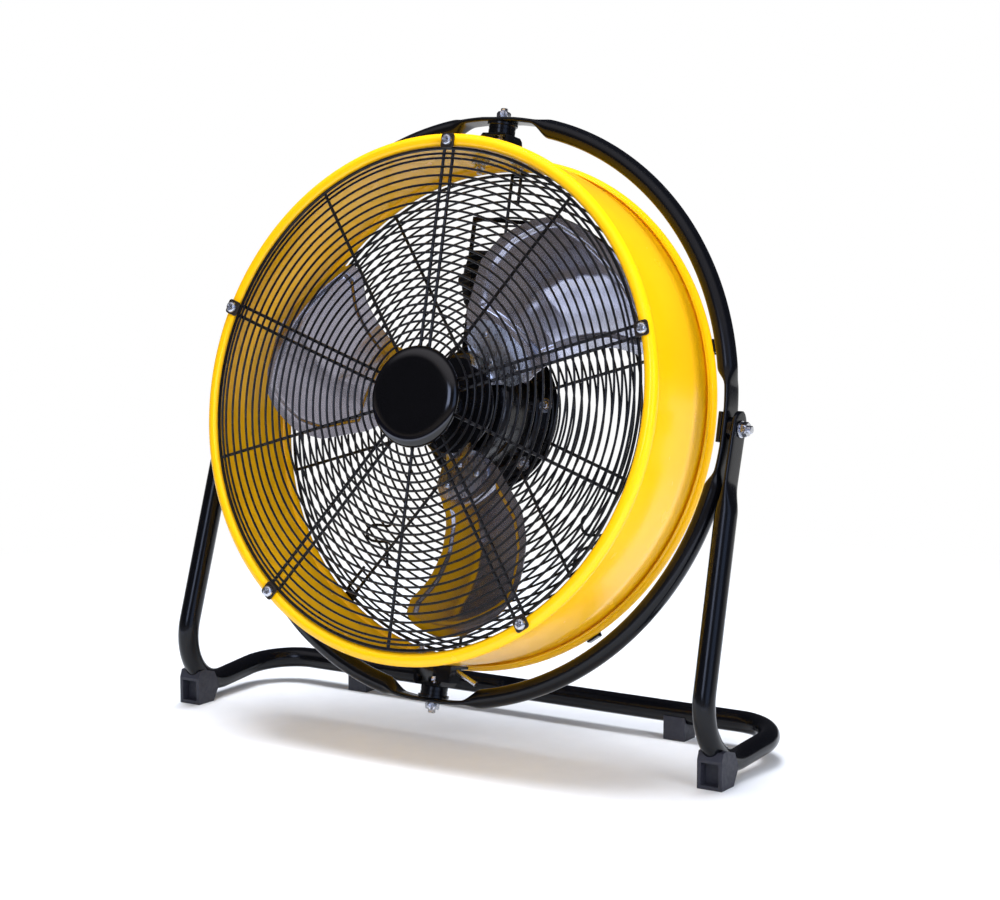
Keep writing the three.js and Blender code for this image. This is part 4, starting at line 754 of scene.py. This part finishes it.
def blade_sheet(middle):
    """A blade: a grid of radius and share from the leading to the trailing edge. The sheet bulges
    forwards as a parabola of that share, is dished back inside the pressed step and creased along
    its middle. Front and back are 0.6 mm to either side, joined round the outline."""
    radius = np.concatenate([np.linspace(58, 226, 113), np.linspace(226.8, 238, 15)])[:, None]
    share = np.linspace(0, 1, 81)[None, :]
    lead, trail = blade_rows(radius)[:2]
    angle = lead + (trail - lead) * share
    outer = ease(radius, 86, 125) * (1 - 0.5 * ease(radius, 215, 238))
    bulge = 5.5 * 4 * share * (1 - share) * outer
    dish = 2.6 * pressed_panel(radius, angle)
    wave = 0.25 * np.sin(radius / 6.5) + 0.2 * np.sin(radius / 3.1)
    crease = (0.9 + wave) * np.exp(-((share - 0.5) / 0.045) ** 2)
    crease = crease * ease(radius, 112, 140) * (1 - ease(radius, 205, 224))
    y = blade_depth(radius, angle) - bulge + dish - crease
    front = polar(radius, middle + angle, y - 0.6)
    back = polar(radius, middle + angle, y + 0.6)
    return closed_sheet(front, back)


for n, middle in enumerate(BLADE_MIDDLES, 1):
    put(f"pressed_blade_{n}", [blade_sheet(middle)], "rotor", SHEET, f"blade_{n}", sharp=60)

ARM_ROWS = np.array([(44, 18), (58, 22), (66, 27), (84, 27), (93, 24), (97, 16)], float)


def arm_sheet(middle):
    """An arm of the spider: a grid of radius and angle that lies on the front of its blade, and
    runs flat into the hub over its root."""
    radius = np.linspace(44, 97, 40)[:, None]
    half = np.interp(radius, ARM_ROWS[:, 0], ARM_ROWS[:, 1])
    share = np.linspace(-1, 1, 33)[None, :]
    angle = half * share
    on_blade = blade_depth(np.maximum(radius, 58), angle) - 1.7
    t = np.clip((radius - 46) / 12, 0, 1)
    y = np.where(radius < 58, HUB_Y + (on_blade - HUB_Y) * t, on_blade)
    return closed_sheet(polar(radius, middle + angle, y - 0.8), polar(radius, middle + angle, y + 0.8))


def rivet(radius, angle, middle):
    """A round rivet head in front of an arm: a flattened half sphere on its shank."""
    a = np.radians(np.linspace(0, 90, 6))
    dome = np.stack([4.0 * np.sin(a), -1.9 * np.cos(a)], -1)
    y = float(blade_depth(np.array(radius), np.array(angle))) - 2.5
    head = turned(np.concatenate([dome, [(2.4, 0), (2.4, 3.6), (0, 3.6)]]), 28)
    return head[0] + polar(radius, middle + angle, y), head[1]


arms = [arm_sheet(m) for m in BLADE_MIDDLES]
arms += [rivet(r, a, m) for m in BLADE_MIDDLES for r, a in ((63, 0.0), (82, 16.0), (82, -16.0))]
put("spider_arms", arms, "rotor", ARM_SHEET, "fan_spider", sharp=40)
hub = [(6.4, -31.0), (49.4, -31.0), (49.9, -30.6), (49.9, -29.4), (49.4, -29.0), (6.4, -29.0)]
put("hub_disc", [turned(hub, 96, True)], "rotor", ENAMEL, sharp=30)
put("hub_nut", [hexagon(17, -38.3, -31.3, hole=6.2)], "rotor", ZINC, "fan_hub_nut", sharp=25)

# ---------------------------------------------------------------- ring


def gimbal_tube():
    """The ring: a pressed section carried round the fan's axis. Its flattening and its radius
    depend only on the arc's distance from the nearest of the four seats."""
    a = np.linspace(0, 2 * np.pi, 720, endpoint=False)
    off = (a + np.pi / 4) % (np.pi / 2) - np.pi / 4
    along = np.abs(off) * 300
    flat = 1 - ease(along, 40, 60)
    straight = 302.8 / np.cos(np.minimum(np.abs(off), 18 / 300))
    radius = 300 + (straight - 300) * flat
    section = pressed(flat, (12.5, 2.5), 10.0, 28)
    y, out = section[..., 0], section[..., 1]
    r = radius[:, None] + out
    return grid(np.stack([r * np.cos(a)[:, None], y, r * np.sin(a)[:, None]], -1), True, True)


BOLT = 4.0  # radius of the swivel and tilt bolts
BOLT_TIP = 3.2
NUT_ACROSS = 13.0

put("gimbal_tube", [gimbal_tube()], "ring", BLACK, "gimbal_ring", sharp=60)
for place, turn in (("upper", 1), ("lower", -1)):
    spool = [(4.3, 288), (13.4, 288), (14, 288.6), (14, 292.4), (13.4, 292.7), (13.4, 293.3),
             (14, 293.6), (14, 297), (15.6, 297), (16, 297.4), (16, 299.6), (15.6, 300), (4.3, 300)]
    flip = [turn, 1, turn]

    def upright(piece):
        p, f = moved(piece, lay="z")
        return p * flip, f

    put(f"{place}_spool", [upright(turned(spool, 64, True))], "ring", BLACK,
        f"{place}_swivel_spool", sharp=30)
    rod = np.concatenate([[(0, 279.5), (BOLT, 279.5), (BOLT, 310.0)], thread(BOLT, 310.2, 315.5, 22),
                          [(BOLT_TIP, 316.1), (0, 316.1)]])
    put(f"{place}_bolt", [upright(hexagon(NUT_ACROSS, 278.9, 284.4)), upright(turned(rod, 40))], "ring",
        ZINC, f"{place}_swivel_bolt", sharp=25)
    put(f"{place}_nut", [upright(hexagon(NUT_ACROSS, 305.6, 312.1, hole=4.1))], "ring", ZINC,
        f"{place}_swivel_nut", sharp=25)
    fit(f"{place}_swivel_bracket", f"{place}_hat_bracket", "drum", BLACK, 0.7)
    tip = [(0, 247), (2.6, 247), (3, 247.5), (3, 263.6), (0, 263.6)]
    pair = [moved(hexagon(10, 252.5, 258.5, hole=2.9), lay="z"), moved(turned(tip, 24), lay="z"),
            moved(turned([(2.9, 258.4), (9, 258.4), (9, 263.7), (2.9, 263.7)], 40, True), lay="z")]
    pair = [(p + [x, 3, 0], f) for p, f in pair for x in (-24, 24)]
    put(f"{place}_bracket_fixings", [(p * flip, f) for p, f in pair], "drum", ZINC, sharp=25)

LOCK_SLANT = math.radians(22)
lock_root = np.array([30, -17, -267.35])
lock_way = np.array([math.cos(LOCK_SLANT), 0, -math.sin(LOCK_SLANT)])
put("lock_rod", [bars(lock_root + 3 * lock_way, lock_root + 33 * lock_way, 2.5, 24)], "drum", ZINC,
    "swivel_lock_pin", sharp=40, bevel=0.4)
for side, place in ((1, "right"), (-1, "left")):

    def across(piece):
        p, f = moved(piece, lay="x")
        return p * [side, 1, 1], f

    plate_edges = [(296, -15), (300, -15), (300, 15), (296, 15)]
    rod = np.concatenate([[(0, 299), (BOLT, 299), (BOLT, 322.5)], thread(BOLT, 322.9, 327.8, 20),
                          [(BOLT_TIP, 328.2), (0, 328.2)]])
    plate_part = prism([(side * x, z) for x, z in plate_edges], -12, 12)
    put(f"tilt_bolt_{place}_thread", [across(turned(rod, 40))], "ring", ZINC,
        f"tilt_bolt_{place}", sharp=25)
    put(f"tilt_plate_{place}", [plate_part], "ring", BLACK, bevel=0.6)
    spacer = [(4.3, 305.6), (10.6, 305.6), (11, 306), (11, 310.2), (10.6, 310.6), (4.3, 310.6)]
    put(f"tilt_spacer_ring_{place}", [across(turned(spacer, 56, True))], "stand", BLACK,
        f"tilt_spacer_{place}", sharp=30)
    washer = [(4.3, 316.2), (8.1, 316.2), (8.5, 316.5), (8.5, 317.4), (8.1, 317.7), (4.3, 317.7)]
    nut = hexagon(NUT_ACROSS, 317.2, 324.2, hole=4.1)
    put(f"tilt_nut_and_washer_{place}", [across(turned(washer, 56, True)), across(nut)], "stand", ZINC,
        f"tilt_nut_{place}", sharp=25)

# ---------------------------------------------------------------- stand


def upright_point(x, s):
    """A point on the upright's line, s below the tilt axis."""
    s = np.asarray(s, float)
    return np.stack(np.broadcast_arrays(x, PIVOT_Y - s * math.sin(LEAN), PIVOT_Z - s * math.cos(LEAN)), -1)


def bend(before, corner, after, radius, count):
    """An arc of a given radius that rounds the corner between two straight runs."""
    before, corner, after = (np.asarray(v, float) for v in (before, corner, after))
    u, v = before - corner, after - corner
    u, v = u / np.linalg.norm(u), v / np.linalg.norm(v)
    half = math.acos(float(u @ v)) / 2
    middle = (u + v) / np.linalg.norm(u + v)
    centre = corner + middle * radius / math.sin(half)
    start = corner + u * radius / math.tan(half) - centre
    end = corner + v * radius / math.tan(half) - centre
    t = np.linspace(0, 1, count)[:, None]
    whole = math.pi - 2 * half
    return centre + (np.sin((1 - t) * whole) * start + np.sin(t * whole) * end) / math.sin(whole)


def stand_path():
    """The right half of the stand's middle line, and how flat the tube is along it: strap tip,
    upright, front bend, side tube, rear corner, rear bar to the middle."""
    s = np.concatenate([[-17.5, -17.3, -16.6, -15.4, -13.6, -11, -8, -5], np.linspace(-2, 50, 14),
                        np.linspace(52, 85, 16)])
    tip = upright_point(313.4, s)
    meet = upright_point(321.0, 329 / math.cos(LEAN))
    corner = np.array([328, 101.9, 27.5])
    middle = np.array([0, 101.9, 27.5])
    front = bend(tip[-1], meet, corner, 60, 26)
    rear = bend(meet, corner, middle, 52, 26)
    run = np.linspace(tip[-1], front[0], 8)[1:-1]
    side_run = np.linspace(front[-1], rear[0], 8)[1:-1]
    bar = np.linspace(rear[-1], middle, 16)[1:]
    return np.concatenate([tip, run, front, side_run, rear, bar]), s


def stand_half():
    """The stand's section along that line: a strap with a round tip that fades to a tube."""
    path_points, s = stand_path()
    n = len(path_points)
    flat = np.zeros(n)
    flat[: len(s)] = 1 - ease(s, 50, 85)
    sections = pressed(flat, (12.5, 2.5), 11.25, 28)
    width = np.ones(n)
    d = np.clip(s + 17.5, 0, 12.5)
    width[: len(s)] = np.sqrt(np.maximum(12.5**2 - (12.5 - d) ** 2, 0.6)) / 12.5
    sections[..., 0] *= width[:, None]
    return carried(path_points, sections, (1, 0, 0))


right_half = stand_half()
put("stand_tube", [right_half, mirrored(right_half)], "stand", BLACK, "stand_frame",
    where=None, sharp=60)
for place in ("right", "left"):
    fit(f"front_foot_{place}", f"front_foot_block_{place}", "stand", RUBBER, 1.4)
    fit(f"rear_foot_{place}", f"rear_foot_block_{place}", "stand", RUBBER, 1.4)

# ---------------------------------------------------------------- switch box

fit("switch_box", "switch_box_case", "drum", BOX_ABS, 1.6)


def speed_knob():
    """The knob: a skirt, a fluted grip and a ridge; the flutes are a ripple of the grip's radius."""
    rows = [(0, 79.8), (15.6, 79.8), (16, 80.2), (16, 83.3), (15.6, 83.6), (13.2, 84.4), (12.6, 91.6),
            (11.6, 92.5), (0, 92.5)]

    def flute(a, r, p):
        grip = (p[:, 1] > 84.0) & (p[:, 1] < 92.0)
        return np.where(grip[None, :], r - 0.45 * (0.5 + 0.5 * np.cos(24 * a)), r)

    body = turned(rows, 240, False, flute)
    ridge = block(-2.5, 2.5, 84.5, 94.5, -13.4, 13.4)
    stem = turned([(0, 74.5), (3.5, 74.5), (3.5, 79.9), (0, 79.9)], 24)
    return [(p + [-8, 0, 143], f) for p, f in (body, ridge, stem)]


put("fluted_knob", speed_knob(), "knob", BOX_ABS, "speed_knob", sharp=30, bevel=0.3)
gland = [(3.5, 0), (6.6, 0), (7, 0.4), (7, 4.6), (6.4, 5.2), (5.4, 5.8), (5.4, 8), (5.0, 8.2), (5.0, 10),
         (5.3, 10.3), (5.0, 13.6), (4.6, 14), (3.5, 14)]
sleeve = mirrored(moved(turned(gland, 48, True), lay="x"))
put("gland_sleeve", [moved(sleeve, (-57.3, 62.5, 143))], "drum", BOX_ABS, "cable_gland",
    sharp=30)
